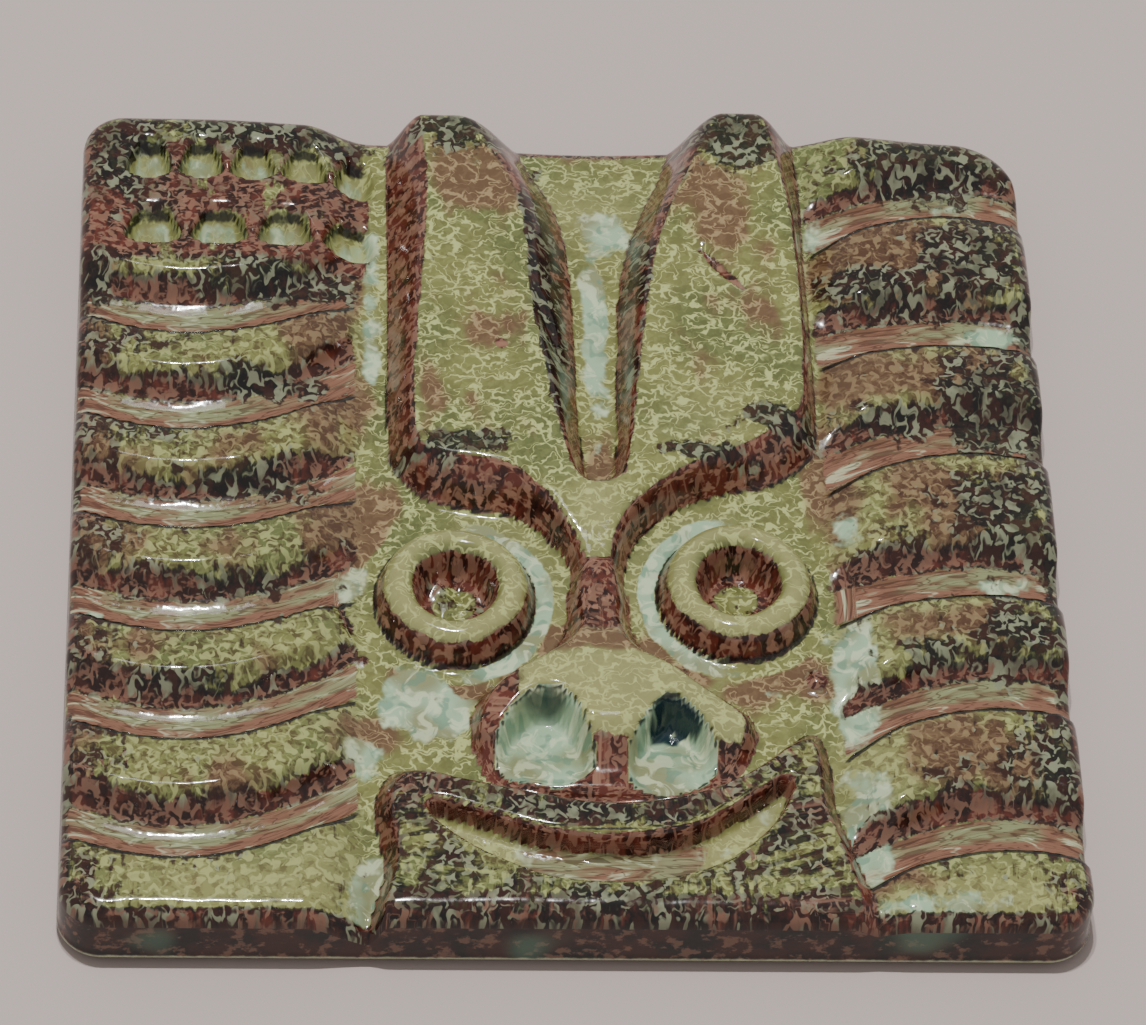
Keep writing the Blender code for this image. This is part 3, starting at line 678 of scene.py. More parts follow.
    def eye_glaze(self, r, angle, hole, facing):
        mine = r < EYE_RADIUS
        upper_side = 0.5 + 0.5 * np.sin(angle)
        stretch = [edge + above * upper_side for edge, above in zip(EYE_WALL, EYE_WALL_ABOVE)]
        outward = between(r, stretch)
        inward = between(r, EYE_HOLE_WALL) * between(r, EYE_HOLE_FOOT)
        self.put(
            mine, thin=np.maximum(outward, inward), groove=0.0, tanned=0.0,
            pale=between(r, EYE_CREST_PALE), pool=0.12 * between(r, EYE_BED_POOL),
            dark=0.35 * between(r, EYE_BED_DARK) + 0.5 * outward * upper_side)
        self.put(r < SOCKET_REACH, run=angle * 10.0, across=r)
        socket = facing * between(r, SOCKET_EDGE) * ~mine
        moat = facing * between(r, MOAT_EDGES[0]) * between(r, MOAT_EDGES[1]) * ~mine
        self.keep(
            pool=1 - socket, thin=1 - socket, tanned=between(r, SOCKET_TAN),
            groove=1 - between(r, SOCKET_STRIPS), line=~mine)
        # Painted shade: a dark line at the eye's foot, and one on the lower half of the hole's rim.
        crease_shade = 0.9 * hill(r, *EYE_FOOT_LINE)
        rim = 0.8 * hill(r - hole, *EYE_HOLE_LINE) * (1.0 - upper_side)
        self.raise_to(pool=0.66 * moat, pale=0.40 * socket, line=np.maximum(crease_shade, rim))

    def mask(self):
        t, run = loft(self.u, self.v, MASK_FOOT, MASK_CREST)
        top = SLAB_THICKNESS + EAR_RISE - BROW_FALL * between(self.v, BROW_LEVELS)
        top += EAR_TIP_RISE * between(self.v, EAR_TIP_LEVELS) * (self.u > NOSE_MIDDLE)
        self.lift(t, top, EAR_SHOULDER)
        wall = between(t, (1.0, 0.78)) * (1.0 - 0.25 * between(t, (0.25, 0.0)))
        # Painted shade: a dark line at the foot of the mask's walls, fading out up the ears.
        self.cover(t, run, wall, 0.7 * hill(t, *FORM_FOOT_LINE) * between(self.v, EAR_CREASE_LEVELS))
        left_flank = between(np.abs(self.u + 2.2 - 0.04 * (30.0 - self.v)), FLANK_REACH)
        right_flank = between(np.abs(self.u - 12.5), FLANK_REACH) * 0.6
        channel = np.maximum(left_flank, right_flank) * between(self.v, FLANK_LEVELS[0])
        channel = channel * between(self.v, FLANK_LEVELS[1]) * between(t, (1.0, 0.9))
        self.keep(pale=np.where(t > 0, between(t, (0.9, 1.0)), 1.0))
        self.raise_to(
            dark=0.85 * channel * (t > 0), thin=0.62 * between(self.v, BROW_RUST_LEVELS) * (t > 0))

    def nose(self):
        t, run = loft(self.u, self.v, NOSE_FOOT, NOSE_CREST)
        top = SLAB_THICKNESS + NOSE_ROOT_RISE
        top = top + (NOSE_RISE - NOSE_ROOT_RISE) * between(self.v, NOSE_ROOT_LEVELS)
        top -= NOSE_END_FALL * between(self.v, NOSE_END_LEVELS)
        top -= NOSE_WING_FALL * between(np.abs(self.u - NOSE_MIDDLE), NOSE_WINGS)
        self.lift(t, top, NOSE_SHOULDER)
        wall = np.maximum.reduce([
            between(t, (1.0, 0.55)), 0.85 * between(self.v, NOSE_FOOT_LEVELS),
            0.66 * between(self.v, NOSE_BRIDGE_LEVELS), 0.80 * between(self.u, NOSE_LEFT_WING)])
        # Painted shade: a dark line at the nose's foot.
        self.cover(t, run, wall, 0.5 * hill(t, *FORM_FOOT_LINE))
        root = between(self.v, NOSE_TAN_LEVELS)
        self.put(t > 0, tanned=0.95 * root, pale=between(t, (0.6, 0.9)) * (1 - 0.7 * root))

    def mouth(self):
        t, run = loft(self.u, self.v, MOUTH_FOOT, MOUTH_CREST)
        self.lift(t, SLAB_THICKNESS + LIP_RISE, LIP_SHOULDER)
        lip = 0.31 + 0.16 * waves(self.u, self.v, 7.0, 15) + 0.20 * between(self.v, UPPER_LIP_LEVELS)
        wall = np.maximum.reduce([between(t, (1.0, 0.6)), lip, 0.62 * between(self.v, LOWER_LIP_LEVELS)])
        # Painted shade: a dark line at the mouth's foot.
        self.cover(t, run, wall, 0.7 * hill(t, *LIP_FOOT_LINE), fine=1.0)
        self.put(t > 0, pale=0.0)

    def smile(self):
        t, run = loft(self.u, self.v, SMILE_RIM, SMILE_BED)
        self.sink(t, SLAB_THICKNESS - SMILE_DEPTH, SMILE_WALL)
        wall = between(t, (0.05, 0.4)) * between(t, (1.0, 0.8))
        # Painted shade: a dark line along the smile's rim.
        self.cover(t, run, 0.9 * wall, 0.8 * hill(t, *SMILE_RIM_LINE), 0.25)
        floor = between(t, (0.7, 0.95))
        self.raise_to(groove=0.85 * floor * between(np.abs(self.u - SMILE_MIDDLE), SMILE_STREAKS))
        self.put(t > 0.7, run=self.u, across=self.v)
        self.put(t > 0, pale=floor, dark=0.0)

    def nostril(self, line):
        middle = line.mean(0)
        bed = (line - middle) * NOSTRIL_BED_SHARE + middle - (0.0, NOSTRIL_BED_DROP)
        t, run = loft(self.u, self.v, line, bed)
        bottom = SLAB_THICKNESS - NOSTRIL_DEPTH + NOSTRIL_END_RISE * between(self.v, NOSTRIL_SLOPE)
        self.sink(t, bottom, NOSTRIL_WALL)
        # Painted shade: a dark line round the nostril's rim.
        self.cover(t, run, 0.0, 0.75 * hill(t, *NOSTRIL_RIM_LINE), 0.9)
        # Painted shadow: a dark blue arch down the top of the nostril, under its overhanging rim, stronger
        # and uneven on the right one.
        top = line[:, 1].max()
        strength = 0.60
        depth = 0.62
        if middle[0] > 0:
            strength = 1.0
            depth = 1.0 + 0.45 * waves(self.u, self.v, 1.6, 13)
        arch_shadow = between(self.v, (top - 4.8 * depth, top - 2.4 * depth)) * between(t, (0.0, 0.3))
        self.raise_to(slate=strength * arch_shadow)
        self.put(
            t > 0, dark=0.0, tanned=0.0, pale=0.9 * between(self.v, (top - 4.0, top - 10.0)))

    def marks(self):
        for (au, av), (bu, bv), half, depth in TOOL_MARKS:
            run_u = bu - au
            run_v = bv - av
            along = ((self.u - au) * run_u + (self.v - av) * run_v) / (run_u ** 2 + run_v ** 2)
            held = np.clip(along, 0.0, 1.0)
            off = np.hypot(self.u - au - held * run_u, self.v - av - held * run_v)
            cut = hill(off, 0.0, half) * (0.5 + 0.5 * np.sin(math.pi * np.clip(along, 0.1, 0.9)))
            self.height = self.height - depth * cut
            self.raise_to(thin=0.9 * smooth(cut * 1.8 - 0.5))
        for middle_u, middle_v, radius, rise in CRUMBS:
            off = np.hypot(self.u - middle_u, self.v - middle_v)
            self.height = self.height + rise * hill(off, 0.0, radius)
            self.raise_to(thin=0.8 * np.exp(-(off / radius / 1.3) ** 4))


def corner_radius(x, z):
    return np.where((x > 0) & (z > 0), WORN_CORNER_RADIUS, CORNER_RADIUS)


def past_corner(x, z):
    """How far a place lies past the middle of its corner's arc, along x and along z."""
    radius = corner_radius(x, z)
    return np.abs(x) - (TILE_WIDTH / 2 - radius), np.abs(z) - (TILE_HEIGHT / 2 - radius)


def edge_depth(x, z):
    """How far inside the tile's rounded outline a place is, in metres."""
    past_x, past_z = past_corner(x, z)
    outside = np.hypot(np.maximum(past_x, 0.0), np.maximum(past_z, 0.0))
    return corner_radius(x, z) - outside - np.minimum(np.maximum(past_x, past_z), 0.0)


def face_plan(across, up):
    """Moves a square net's places, from -1 to 1, closer at the rim and rounded at the corners."""
    across = across * (1.0 + RIM_CLOSENESS) - RIM_CLOSENESS * across ** 3
    up = up * (1.0 + RIM_CLOSENESS) - RIM_CLOSENESS * up ** 3
    ring = np.maximum(np.abs(across), np.abs(up))
    x = across * TILE_WIDTH / 2
    z = up * TILE_HEIGHT / 2
    radius = corner_radius(x, z) * between(ring, ROUNDED_RINGS) + 1e-9
    past_x = np.maximum(np.abs(x) - np.maximum(ring * TILE_WIDTH / 2 - radius, 0.0), 0.0)
    past_z = np.maximum(np.abs(z) - np.maximum(ring * TILE_HEIGHT / 2 - radius, 0.0), 0.0)
    pull = radius / np.maximum(np.hypot(past_x, past_z), radius)
    x = np.sign(x) * (np.abs(x) - past_x + past_x * pull)
    z = np.sign(z) * (np.abs(z) - past_z + past_z * pull)
    return x, z


class Value:
    """A number that follows the surface, open to ordinary sums."""

    def __init__(self, paint, socket):
        self.paint = paint
        self.socket = socket

    def __add__(self, other):
        return self.paint.maths("ADD", self, other)

    def __sub__(self, other):
        return self.paint.maths("SUBTRACT", self, other)

    def __rsub__(self, other):
        return self.paint.maths("SUBTRACT", other, self)

    def __mul__(self, other):
        return self.paint.maths("MULTIPLY", self, other)

    __radd__ = __add__
    __rmul__ = __mul__


class Paint:
    """A material that is written as sums of noises, masks and colours."""

    def __init__(self, name, flat=False):
        self.material = bpy.data.materials.new(name)
        self.material.use_nodes = True
        self.tree = self.material.node_tree
        self.shader = self.tree.nodes["Principled BSDF"]
        self.place = self.node("ShaderNodeTexCoord", output="Object")
        self.dimensions = "3D"
        if flat:
            self.place = self.node("ShaderNodeMapping", {}, {
                "Vector": self.place, "Rotation": (math.radians(-90), 0.0, 0.0)})
            self.dimensions = "2D"

    def feed(self, socket, value):
        if isinstance(value, Value):
            self.tree.links.new(value.socket, socket)
        else:
            socket.default_value = value

    def node(self, kind, settings=(), inputs=(), output=0):
        """Any node: its settings first, then the values or links of its sockets."""
        node = self.tree.nodes.new(kind)
        for key, value in dict(settings).items():
            setattr(node, key, value)
        for key, value in dict(inputs).items():
            self.feed(node.inputs[key], value)
        return Value(self, node.outputs[output])

    def maths(self, operation, first, second=0.0):
        return self.node("ShaderNodeMath", {"operation": operation}, {0: first, 1: second})

    def larger(self, first, second):
        return self.maths("MAXIMUM", first, second)

    def layer(self, name):
        """One of the numbers that the relief keeps at every place."""
        return self.node("ShaderNodeAttribute", {"attribute_name": name}, output="Fac")

    def step(self, value, start, end):
        """A soft step from 0 at the start to 1 at the end."""
        return self.node(
            "ShaderNodeMapRange", {"interpolation_type": "SMOOTHSTEP"},
            {"Value": value, "From Min": start, "From Max": end}, "Result")

    def mix(self, share, first, second):
        """The first colour, and as much of the second as the share says."""
        return self.node(
            "ShaderNodeMix", {"data_type": "RGBA"}, {0: share, 6: first, 7: second}, 2)

    def stretched(self, scale, shift=(0.0, 0.0, 0.0), place=None):
        return self.node(
            "ShaderNodeMapping", {}, {"Vector": place or self.place, "Scale": scale, "Location": shift})

    def moved(self, *shift):
        return self.stretched((1.0, 1.0, 1.0), shift)

    def streaks(self, along, over, shift):
        """Coordinates that follow the forms: along their outlines, and over their edges."""
        run = self.layer("run") * along + shift
        across = self.layer("across") * over + shift
        return self.node("ShaderNodeCombineXYZ", {}, {"X": run, "Y": across, "Z": shift})

    def noise(self, place, scale, detail=2.0, rough=0.5, twist=0.0):
        return self.node(
            "ShaderNodeTexNoise", {"noise_dimensions": self.dimensions},
            {"Vector": place, "Scale": scale, "Detail": detail, "Roughness": rough, "Distortion": twist},
            "Fac")

    def threads(self, place, scale, width, twist=0.0):
        """Thin winding lines: where a noise passes through its middle."""
        off = self.maths("ABSOLUTE", self.noise(place, scale, 1.0, 0.4, twist) - 0.5)
        return 1.0 - self.step(off, width * 0.35, width)

    def cells(self, place, scale, width):
        """A net of lines between round cells."""
        edge = self.node(
            "ShaderNodeTexVoronoi",
            {"feature": "DISTANCE_TO_EDGE", "voronoi_dimensions": self.dimensions},
            {"Vector": place, "Scale": scale}, "Distance")
        return 1.0 - self.step(edge, width * 0.3, width)


    def finish(self, skin, roughness, strength, distance, height):
        """The colour, how matt it is and its fine bumps, on the shader."""
        bump = self.node("ShaderNodeBump", {}, {
            "Strength": strength, "Distance": distance, "Height": height}, "Normal")
        for name, value in (("Base Color", skin), ("Roughness", roughness), ("Normal", bump)):
            self.feed(self.shader.inputs[name], value)


def plain(setting):
    return (*setting, 1.0)


class Glaze(Paint):
    """The reactive glaze: olive with pale threads, rust where it ran thin, mint where it pooled; with
    painted shade in creases and painted shadow under the nostrils.
    """

    def __init__(self, settings):
        super().__init__("reactive_glaze", flat=True)
        for name in HUES:
            setattr(self, name, plain(getattr(settings, name)))
        for name in ("dark", "fine", "pale", "tanned", "thin"):
            setattr(self, name, self.layer(name))
        self.grain = self.noise(self.place, 900.0, 1.0, 0.6)
        self.blots = self.noise(self.moved(0.3, 0.1, 0.0), 190.0, 3.0, 0.6)
        self.clumps = self.noise(self.moved(0.6, 0.0, 0.6), 330.0, 3.0, 0.65)
        self.hairs = self.noise(self.streaks(0.95, 0.22, 3.0), 1.0, 2.0, 0.62)
        worms = self.noise(self.moved(0.4, 0.7, 0.0), 720.0, 1.5, 0.5, 0.7)
        self.strokes = self.step(worms, 0.50, 0.60)
        unrest = (self.hairs - 0.5) * (0.30 + 0.40 * self.fine)
        unrest = unrest + (self.blots - 0.5) * 0.8 + (self.clumps - 0.5) * 0.35
        self.ragged = self.thin + unrest * self.step(self.thin, 0.0, 0.20)
        thin_edge = self.step(self.ragged, 0.40, 0.50)
        gloss = settings.gloss + thin_edge * 0.06 + (self.grain - 0.5) * 0.06
        peel = self.noise(self.place, 330.0, 2.0) * 0.6 + self.grain * 0.12 + self.blots * 0.35
        self.finish(self.skin(thin_edge), gloss, 0.28, 0.00026, peel)
        self.shader.inputs["IOR"].default_value = GLAZE_IOR

    def skin(self, thin_edge):
        """Over the olive, each other kind of glaze takes over where the relief's layers say, then painted
        shadow in dark blue under the nostrils and painted shade in black along creases.
        """
        groove_edge = self.step(self.layer("groove") + (self.hairs - 0.5) * 0.5, 0.42, 0.58)
        pool_edge = self.step(self.layer("pool") + (self.blots - 0.5) * 0.8, 0.36, 0.54)
        # Painted shadow: dark blue under the nostrils' overhanging arches.
        nostril_shadow_edge = self.step(self.layer("slate") + (self.blots - 0.5) * 0.3, 0.2, 0.8)
        # Painted shade: the line layer turns creases and the feet of edges black.
        crease_shade = self.step(self.layer("line") + (self.grain - 0.5) * 0.5, 0.34, 0.66)
        skin = self.thick_olive()
        for share, over in (
                (groove_edge, self.groove_strip()), (pool_edge, self.pooled_mint()),
                (thin_edge, self.thin_rust()), self.soot(), (nostril_shadow_edge, self.slate),
                (crease_shade * 0.9, self.black)):
            skin = self.mix(share, skin, over)
        return skin

    def net(self):
        """Pale threads: broken cells and worms on the plain forms, close strokes on manes and mouth."""
        bent = self.node(
            "ShaderNodeTexNoise", {"noise_dimensions": "2D"},
            {"Vector": self.place, "Scale": 430.0, "Detail": 2.0}, "Color")
        wander = self.node("ShaderNodeVectorMath", {"operation": "MULTIPLY_ADD"}, {
            0: bent, 1: THREAD_WANDER, 2: self.place})
        gaps = self.step(self.noise(self.stretched((0.6, 1.0, 1.0)), 330.0, 2.0), 0.42, 0.54)
        cells = self.cells(self.stretched((1.0, 1.4, 1.0), place=wander), 330.0, 0.12) * gaps
        worms = self.stretched((1.0, 1.7, 1.0), (0.1, 0.2, 0.0), wander)
        net = self.larger(cells, self.threads(worms, 270.0, 0.027, 0.4)) * (1.0 - self.fine * 0.80)
        return self.larger(net, self.strokes * (0.10 + 0.50 * self.fine))

    def thick_olive(self):
        """Olive with drifts of moss and tan, pale plains, dark specks and the net."""
        patches = self.noise(self.stretched((1.0, 0.6, 1.0), (0.2, 0.5, 0.1)), 130.0, 2.0, 0.6)
        tan_share = self.step(self.tanned + (patches - 0.5) * 1.3, 0.26, 0.60)
        drift = self.step(self.noise(self.place, 60.0, 3.0), 0.36, 0.66)
        body = self.mix(drift, self.olive, self.moss)
        body = self.mix(self.pale * 0.60, body, self.celadon)
        body = self.mix(tan_share * 0.9, body, self.tan)
        specks = self.noise(self.stretched((0.8, 1.0, 1.0), (0.5, 0.5, 0.0)), 620.0, 2.0, 0.6, 0.5)
        specks = self.step(specks + 0.25 * self.tanned, 0.50, 0.66)
        body = self.mix(specks * (0.16 + 0.46 * self.fine) * (1.0 - 0.7 * self.pale), body, self.umber)
        thread = self.mix(tan_share * 0.75, self.thread, self.mauve)
        return self.mix(self.net() * (0.90 - 0.15 * self.pale), body, thread)

    def groove_strip(self):
        """The strips between bands: lengthwise drifts of blush, sage and cream."""
        bands = self.noise(self.streaks(0.13, 0.60, 7.0), 1.0, 3.0, 0.6, 0.8)
        toward = self.noise(self.streaks(0.07, 0.16, 17.0), 1.0, 2.0)
        wash = toward * 0.9 + bands * 0.5 - self.tanned * 0.45
        strip = self.mix(self.step(wash, 0.48, 0.78), self.blush, self.sage)
        strip = self.mix(self.step(bands, 0.56, 0.68) * 0.5, strip, self.foam)
        strip = self.mix(self.step(bands, 0.44, 0.32) * 0.75, strip, self.tan)
        lines = self.threads(self.streaks(0.16, 1.3, 31.0), 1.0, 0.06, 0.9)
        return self.mix(lines * 0.6, strip, self.umber)

    def pooled_mint(self):
        """Mint pools with darker wells and foamy rims."""
        ponds = self.noise(self.moved(0.7, 0.2, 0.4), 300.0, 3.0, 0.6, 1.0)
        wells = self.step(self.noise(self.place, 330.0, 1.0), 0.57, 0.64)
        shade = self.step(self.noise(self.place, 120.0, 2.0), 0.40, 0.66)
        water = self.mix(shade, self.mint, self.sage)
        water = self.mix(wells * 0.6, water, self.lagoon)
        froth = self.larger(self.step(ponds, 0.50, 0.62), self.step(self.blots, 0.58, 0.70))
        return self.mix(froth * 0.55, water, self.foam)

    def thin_rust(self):
        """Rust and umber where the glaze ran thin, veined with mauve."""
        cloudy = self.noise(self.moved(0.9, 0.0, 0.3), 420.0, 2.0, 0.65)
        rust = self.mix(self.step(cloudy + 0.6 * self.blots, 0.70, 0.90), self.rust, self.umber)
        sooted = self.step(self.blots + 0.12 * self.fine, 0.50, 0.64)
        rust = self.mix(sooted * 0.62, rust, self.black)
        flecks = self.step(self.noise(self.streaks(0.50, 1.1, 41.0), 1.0, 2.0, 0.6), 0.52, 0.64)
        veins = self.larger(flecks * (0.90 - 0.35 * self.fine), self.strokes * 0.62)
        return self.mix(veins, rust, self.mauve)

    def soot(self):
        """How much black there is, at the thin glaze's edges and where it fired dark; and the black."""
        fringe = self.step(self.ragged, 0.24, 0.36) * self.step(self.ragged, 0.80, 0.52)
        clumped = self.step(self.clumps + 0.5 * self.dark, 0.40, 0.56)
        fringe = fringe * clumped * (0.45 + 0.55 * self.fine)
        fired = self.dark * 0.75 + (self.blots - 0.5) * 0.8 + (self.clumps - 0.5) * 0.9
        share = self.larger(self.step(fired, 0.30, 0.44) * 0.94, fringe * 0.88)
        sooty = self.mix(self.step(self.clumps, 0.46, 0.60) * 0.7, self.black, self.umber)
        bright = self.step(self.blots, 0.40, 0.60)
        return share, self.mix(self.strokes * (0.36 + 0.60 * bright), sooty, self.squiggle)


def rim_paint(settings):
    """Dark glaze on the sides, with a pale roll where it stopped short of the back, and below it a dark
    umber band, partly bare clay and partly painted shadow of the undercut foot.
    """
    paint = Paint("rim_glaze")
    depth = paint.layer("depth")
    blots = paint.noise(paint.stretched((1.0, 1.0, 1.6)), 150.0, 3.0, 0.6)
    grain = paint.noise(paint.place, 700.0, 3.0, 0.6)
    side = paint.mix(paint.step(blots, 0.42, 0.60), plain(settings.umber), plain(settings.black))
    veins = paint.step(paint.noise(paint.stretched((1.0, 1.0, 1.5)), 420.0, 3.0, 0.6), 0.53, 0.64)
    side = paint.mix(veins * 0.55, side, plain(settings.mauve))
    smear = paint.step(paint.noise(paint.stretched((1.0, 1.0, 3.0), (0.4, 0.0, 0.0)), 45.0, 2.0), 0.58, 0.70)
    side = paint.mix(smear * 0.55, side, plain(settings.lagoon))
    roll = paint.step(depth + (grain - 0.5) * 0.0006, *GLAZE_ROLL)
    side = paint.mix(roll * 0.7, side, plain(settings.foam))
    # Painted shadow, partly bare clay: the unglazed foot is umber, darker than the clay on the back.
    bare = paint.step(depth, GLAZE_END + 0.00005, GLAZE_END - 0.00015)
    side = paint.mix(bare, side, plain(settings.umber))
    paint.finish(side, 0.16 + 0.5 * bare, 0.3, 0.0003, blots)
    return paint.material


def clay_paint(settings):
    """Bare fired clay: matt, speckled, faintly dragged by the board it was pressed on."""
    paint = Paint("bare_clay")
    drag = paint.noise(paint.stretched((0.25, 1.0, 3.0)), 160.0, 4.0, 0.6)
    speck = paint.step(paint.noise(paint.place, 900.0, 1.0), 0.68, 0.74)
    stain = paint.step(paint.noise(paint.place, 28.0, 3.0), 0.40, 0.70)
    clay = plain(settings.biscuit)
    deep = plain([channel * 0.62 for channel in settings.biscuit])
    skin = paint.mix(stain * 0.7 + (drag - 0.5) * 0.5, clay, deep)
    skin = paint.mix(speck * 0.6, skin, plain(settings.umber))
    paint.finish(skin, 0.78 + (drag - 0.5) * 0.2, 0.5, 0.0003, drag + speck * -0.4)
    return paint.material


def wall_paint(settings):
    """Plain matt paint."""
    paint = Paint("studio_wall")
    tone = plain([channel * 0.96 for channel in settings.wall])
    cloud = paint.noise(paint.place, 9.0, 2.0)
    paint.feed(paint.shader.inputs["Base Color"], paint.mix(cloud, plain(settings.wall), tone))
    paint.shader.inputs["Roughness"].default_value = 0.9
    paint.shader.inputs["Specular IOR Level"].default_value = 0.2
    return paint.material


def direction(azimuth, elevation):
    """From the tile towards a place in front of it, by its angles."""
    return Vector((
        math.sin(azimuth) * math.cos(elevation), -math.cos(azimuth) * math.cos(elevation),
        math.sin(elevation)))


def start_mesh():
    """Nothing is selected and the last mesh is out of edit mode."""
    if bpy.context.object and bpy.context.object.mode != "OBJECT":
        bpy.ops.object.mode_set(mode="OBJECT")
    bpy.ops.object.select_all(action="DESELECT")


def carve_face(tile, settings):
    """Moves the net's vertices to the carved face, and keeps what the glaze does at each."""
    mesh = tile.data
    count = len(mesh.vertices)
    places = np.zeros(count * 3)
    mesh.vertices.foreach_get("co", places)
    places = places.reshape(-1, 3)
    x, z = face_plan(places[:, 0] * 2 / TILE_WIDTH, places[:, 2] * 2 / TILE_HEIGHT)
    u = x * SHEET / TILE_WIDTH
    v = z * SHEET / TILE_HEIGHT
    relief = Relief(u, v)
    short = EDGE_ROUNDING - np.clip(edge_depth(x, z), 0.0, EDGE_ROUNDING)
    drop = EDGE_ROUNDING - np.sqrt(EDGE_ROUNDING ** 2 - short ** 2)
    height = relief.height
    height = height - drop * np.clip(height / SLAB_THICKNESS - LOW_EDGE, LEAST_ROUNDING, 1.0)
    calm = smooth(edge_depth(x, z) / CALM_RIM)
    height = height + settings.swell * calm * (0.7 * waves(u, v, 9.0, 3) + 0.3 * waves(u, v, 3.1, 4))
    turned = between(short / EDGE_ROUNDING, EDGE_THIN)
    relief.thin = np.maximum(relief.thin, 0.85 * turned * (1.0 - relief.groove))
    relief.dark = np.maximum(relief.dark, 0.5 * turned)
    relief.groove = relief.groove * (1.0 - between(short / EDGE_ROUNDING, EDGE_STRIP_END))
    mesh.vertices.foreach_set("co", np.stack([x, -height, z], 1).ravel())
    for name in Relief.LAYERS:
        layer = mesh.attributes.new(name, "FLOAT", "POINT")
        layer.data.foreach_set("value", getattr(relief, name).astype(np.float32))


def turn_rim():
    """Takes the face's rim straight back, over a roll of glaze, to the foot, and closes the back."""
    bpy.ops.object.mode_set(mode="EDIT")
    bpy.ops.mesh.select_mode(type="EDGE")
    bpy.ops.mesh.select_all(action="SELECT")
    bpy.ops.mesh.region_to_loop()
    stands_out = 0.0
    for depth, out in RIM_PROFILE:
        bpy.ops.mesh.extrude_edges_move()
        bpy.ops.transform.resize(value=(1.0, 0.0, 1.0), center_override=(0.0, -depth, 0.0))
        wider = 1.0 + 2 * (out - stands_out) / TILE_WIDTH
        bpy.ops.transform.resize(value=(wider, 1.0, wider), center_override=(0.0, -depth, 0.0))
        stands_out = out
    bpy.ops.mesh.edge_face_add()
    bpy.ops.mesh.select_all(action="SELECT")
    bpy.ops.mesh.normals_make_consistent(inside=False)
    bpy.ops.object.mode_set(mode="OBJECT")


def dress_faces(tile, materials):
    """Face glaze in front, dark glaze round the sides, bare clay on the back."""
    mesh = tile.data
    for material in materials:
        mesh.materials.append(material)
    places = np.zeros(len(mesh.vertices) * 3)
    mesh.vertices.foreach_get("co", places)
    depth = mesh.attributes.new("depth", "FLOAT", "POINT")
    depth.data.foreach_set("value", (-places.reshape(-1, 3)[:, 1]).astype(np.float32))
    front_faces = NET_CELLS ** 2
    slots = np.ones(len(mesh.polygons), dtype=np.int32)
    slots[:front_faces] = 0
    for face in mesh.polygons:
        if face.normal.y > 0.9:
            slots[face.index] = 2
    mesh.polygons.foreach_set("material_index", slots)


class OBJECT_OT_relief_tile(bpy.types.Operator):
    """Carve the tile and glaze it"""
    bl_idname = "object.make_relief_tile"
    bl_label = "Relief Tile"

    def execute(self, context):
        settings = context.scene.tile_glaze
        start_mesh()
        bpy.ops.mesh.primitive_grid_add(
            x_subdivisions=NET_CELLS, y_subdivisions=NET_CELLS, size=1.0,
            rotation=(math.radians(90), 0.0, 0.0))
        tile = context.object
        tile.name = "glazed_tile"
        tile.scale = (TILE_WIDTH, TILE_HEIGHT, 1.0)
        bpy.ops.object.transform_apply(location=True, rotation=True, scale=True)
        carve_face(tile, settings)
        turn_rim()
        dress_faces(tile, (Glaze(settings).material, rim_paint(settings), clay_paint(settings)))
        bpy.ops.object.shade_smooth()
        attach(tile, "root")
        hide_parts("relief_tile")
        return {"FINISHED"}


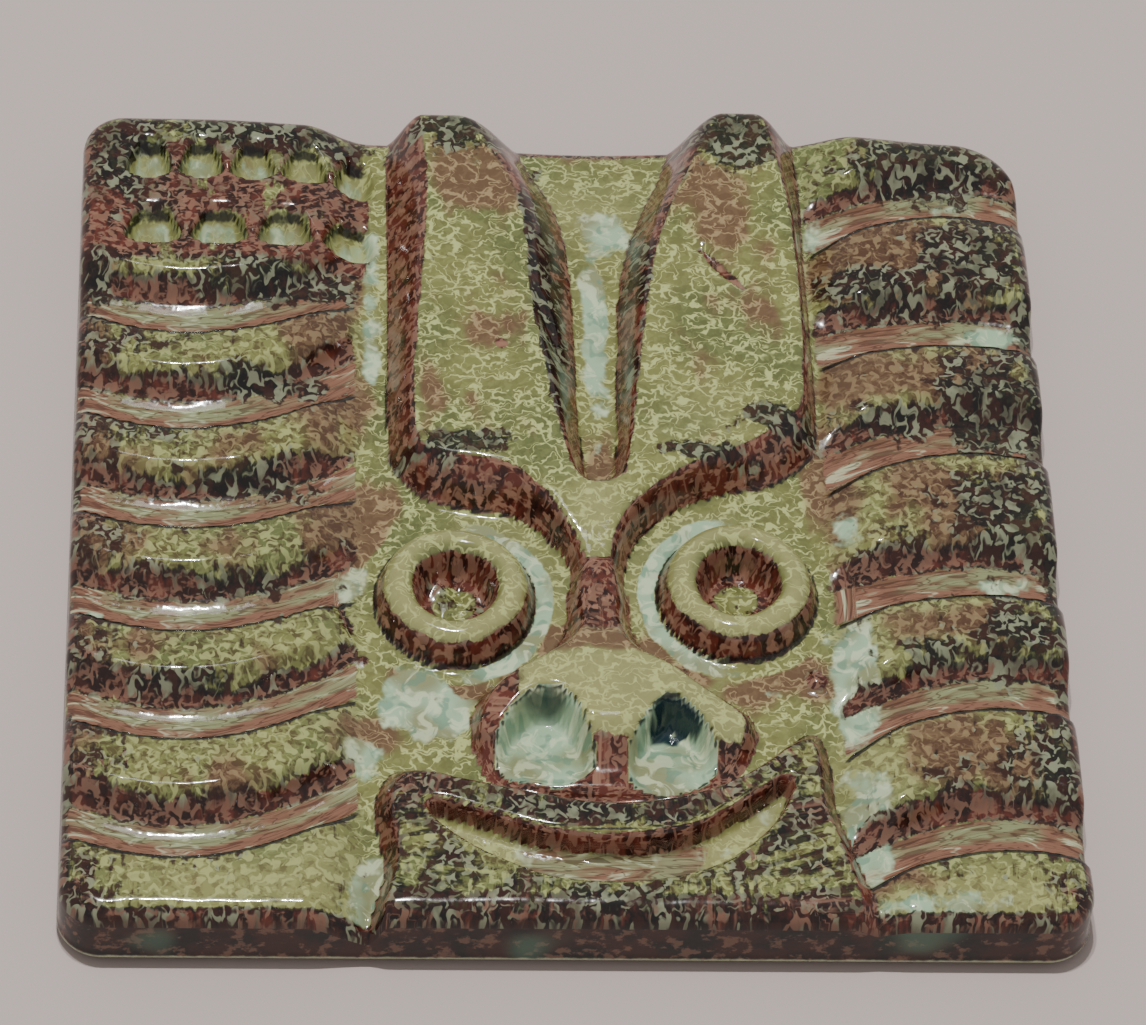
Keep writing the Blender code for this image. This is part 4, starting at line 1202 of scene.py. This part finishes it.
class OBJECT_OT_tile_stage(bpy.types.Operator):
    """Set up the wall, the lamps and the camera"""
    bl_idname = "object.make_tile_stage"
    bl_label = "Tile Stage"

    def execute(self, context):
        settings = context.scene.tile_stage
        start_mesh()
        bpy.ops.mesh.primitive_plane_add(
            size=settings.wall_size, location=(0.0, settings.wall_gap, 0.0),
            rotation=(math.radians(90), 0.0, 0.0))
        wall = context.object
        wall.name = "studio_wall"
        bpy.ops.object.transform_apply(location=True, rotation=True, scale=True)
        bpy.ops.object.mode_set(mode="EDIT")
        bpy.ops.mesh.select_all(action="SELECT")
        bpy.ops.mesh.inset(thickness=(settings.wall_size - TILE_WIDTH) / 2 + settings.opening)
        bpy.ops.mesh.delete(type="FACE")
        bpy.ops.object.mode_set(mode="OBJECT")
        wall.data.materials.append(wall_paint(settings))
        self.lamps(context, settings)
        self.camera(context)
        return {"FINISHED"}

    def lamps(self, context, settings):
        """Area lamps that look at the tile, and an even sky."""
        for name, azimuth, elevation, distance, width, height, power in LAMPS:
            away = direction(math.radians(azimuth), math.radians(elevation))
            bpy.ops.object.light_add(type="AREA", location=away * distance)
            lamp = context.object
            lamp.name = name
            lamp.rotation_euler = (-away).to_track_quat("-Z", "Y").to_euler()
            lamp.data.shape = "RECTANGLE"
            lamp.data.size = width
            lamp.data.size_y = height
            lamp.data.energy = getattr(settings, power)
        world = bpy.data.worlds.new("even_sky")
        world.use_nodes = True
        sky = world.node_tree.nodes["Background"].inputs
        sky["Color"].default_value = SKY_COLOUR
        sky["Strength"].default_value = settings.sky
        context.scene.world = world

    def camera(self, context):
        away = direction(CAMERA_AZIMUTH, CAMERA_ELEVATION)
        right = (-away).cross(Vector((0.0, 0.0, 1.0))).normalized()
        up = right.cross(-away)
        turned_right = right * math.cos(CAMERA_ROLL) + up * math.sin(CAMERA_ROLL)
        turned_up = up * math.cos(CAMERA_ROLL) - right * math.sin(CAMERA_ROLL)
        bpy.ops.object.camera_add()
        camera = context.object
        camera.name = "photo_camera"
        camera.data.sensor_width = SENSOR_WIDTH
        camera.data.lens = CAMERA_LENS
        place = Matrix((turned_right, turned_up, away)).transposed().to_4x4()
        place.translation = CAMERA_AIM + away * CAMERA_DISTANCE
        camera.matrix_world = place
        context.scene.camera = camera


class VIEW3D_PT_relief_tile(bpy.types.Panel):
    """The tile's settings and buttons"""
    bl_idname = "VIEW3D_PT_relief_tile"
    bl_label = "Relief Tile"
    bl_space_type = "VIEW_3D"
    bl_region_type = "UI"
    bl_category = "Relief Tile"

    def draw(self, context):
        for group, operator in (
                (context.scene.tile_glaze, OBJECT_OT_relief_tile),
                (context.scene.tile_stage, OBJECT_OT_tile_stage)):
            column = self.layout.column(align=True)
            for name in group.bl_rna.properties.keys():
                if name not in {"rna_type", "name"}:
                    column.prop(group, name)
            column.operator(operator.bl_idname)


CLASSES = (
    TileGlazeSettings, TileStageSettings, OBJECT_OT_relief_tile, OBJECT_OT_tile_stage,
    VIEW3D_PT_relief_tile,
)


def register():
    for each in CLASSES:
        bpy.utils.register_class(each)
    bpy.types.Scene.tile_glaze = bpy.props.PointerProperty(type=TileGlazeSettings)
    bpy.types.Scene.tile_stage = bpy.props.PointerProperty(type=TileStageSettings)


def unregister():
    del bpy.types.Scene.tile_stage
    del bpy.types.Scene.tile_glaze
    for each in reversed(CLASSES):
        bpy.utils.unregister_class(each)


def main():
    register()
    bpy.ops.object.make_relief_tile()
    bpy.ops.object.make_tile_stage()


if __name__ == "__main__":
    main()
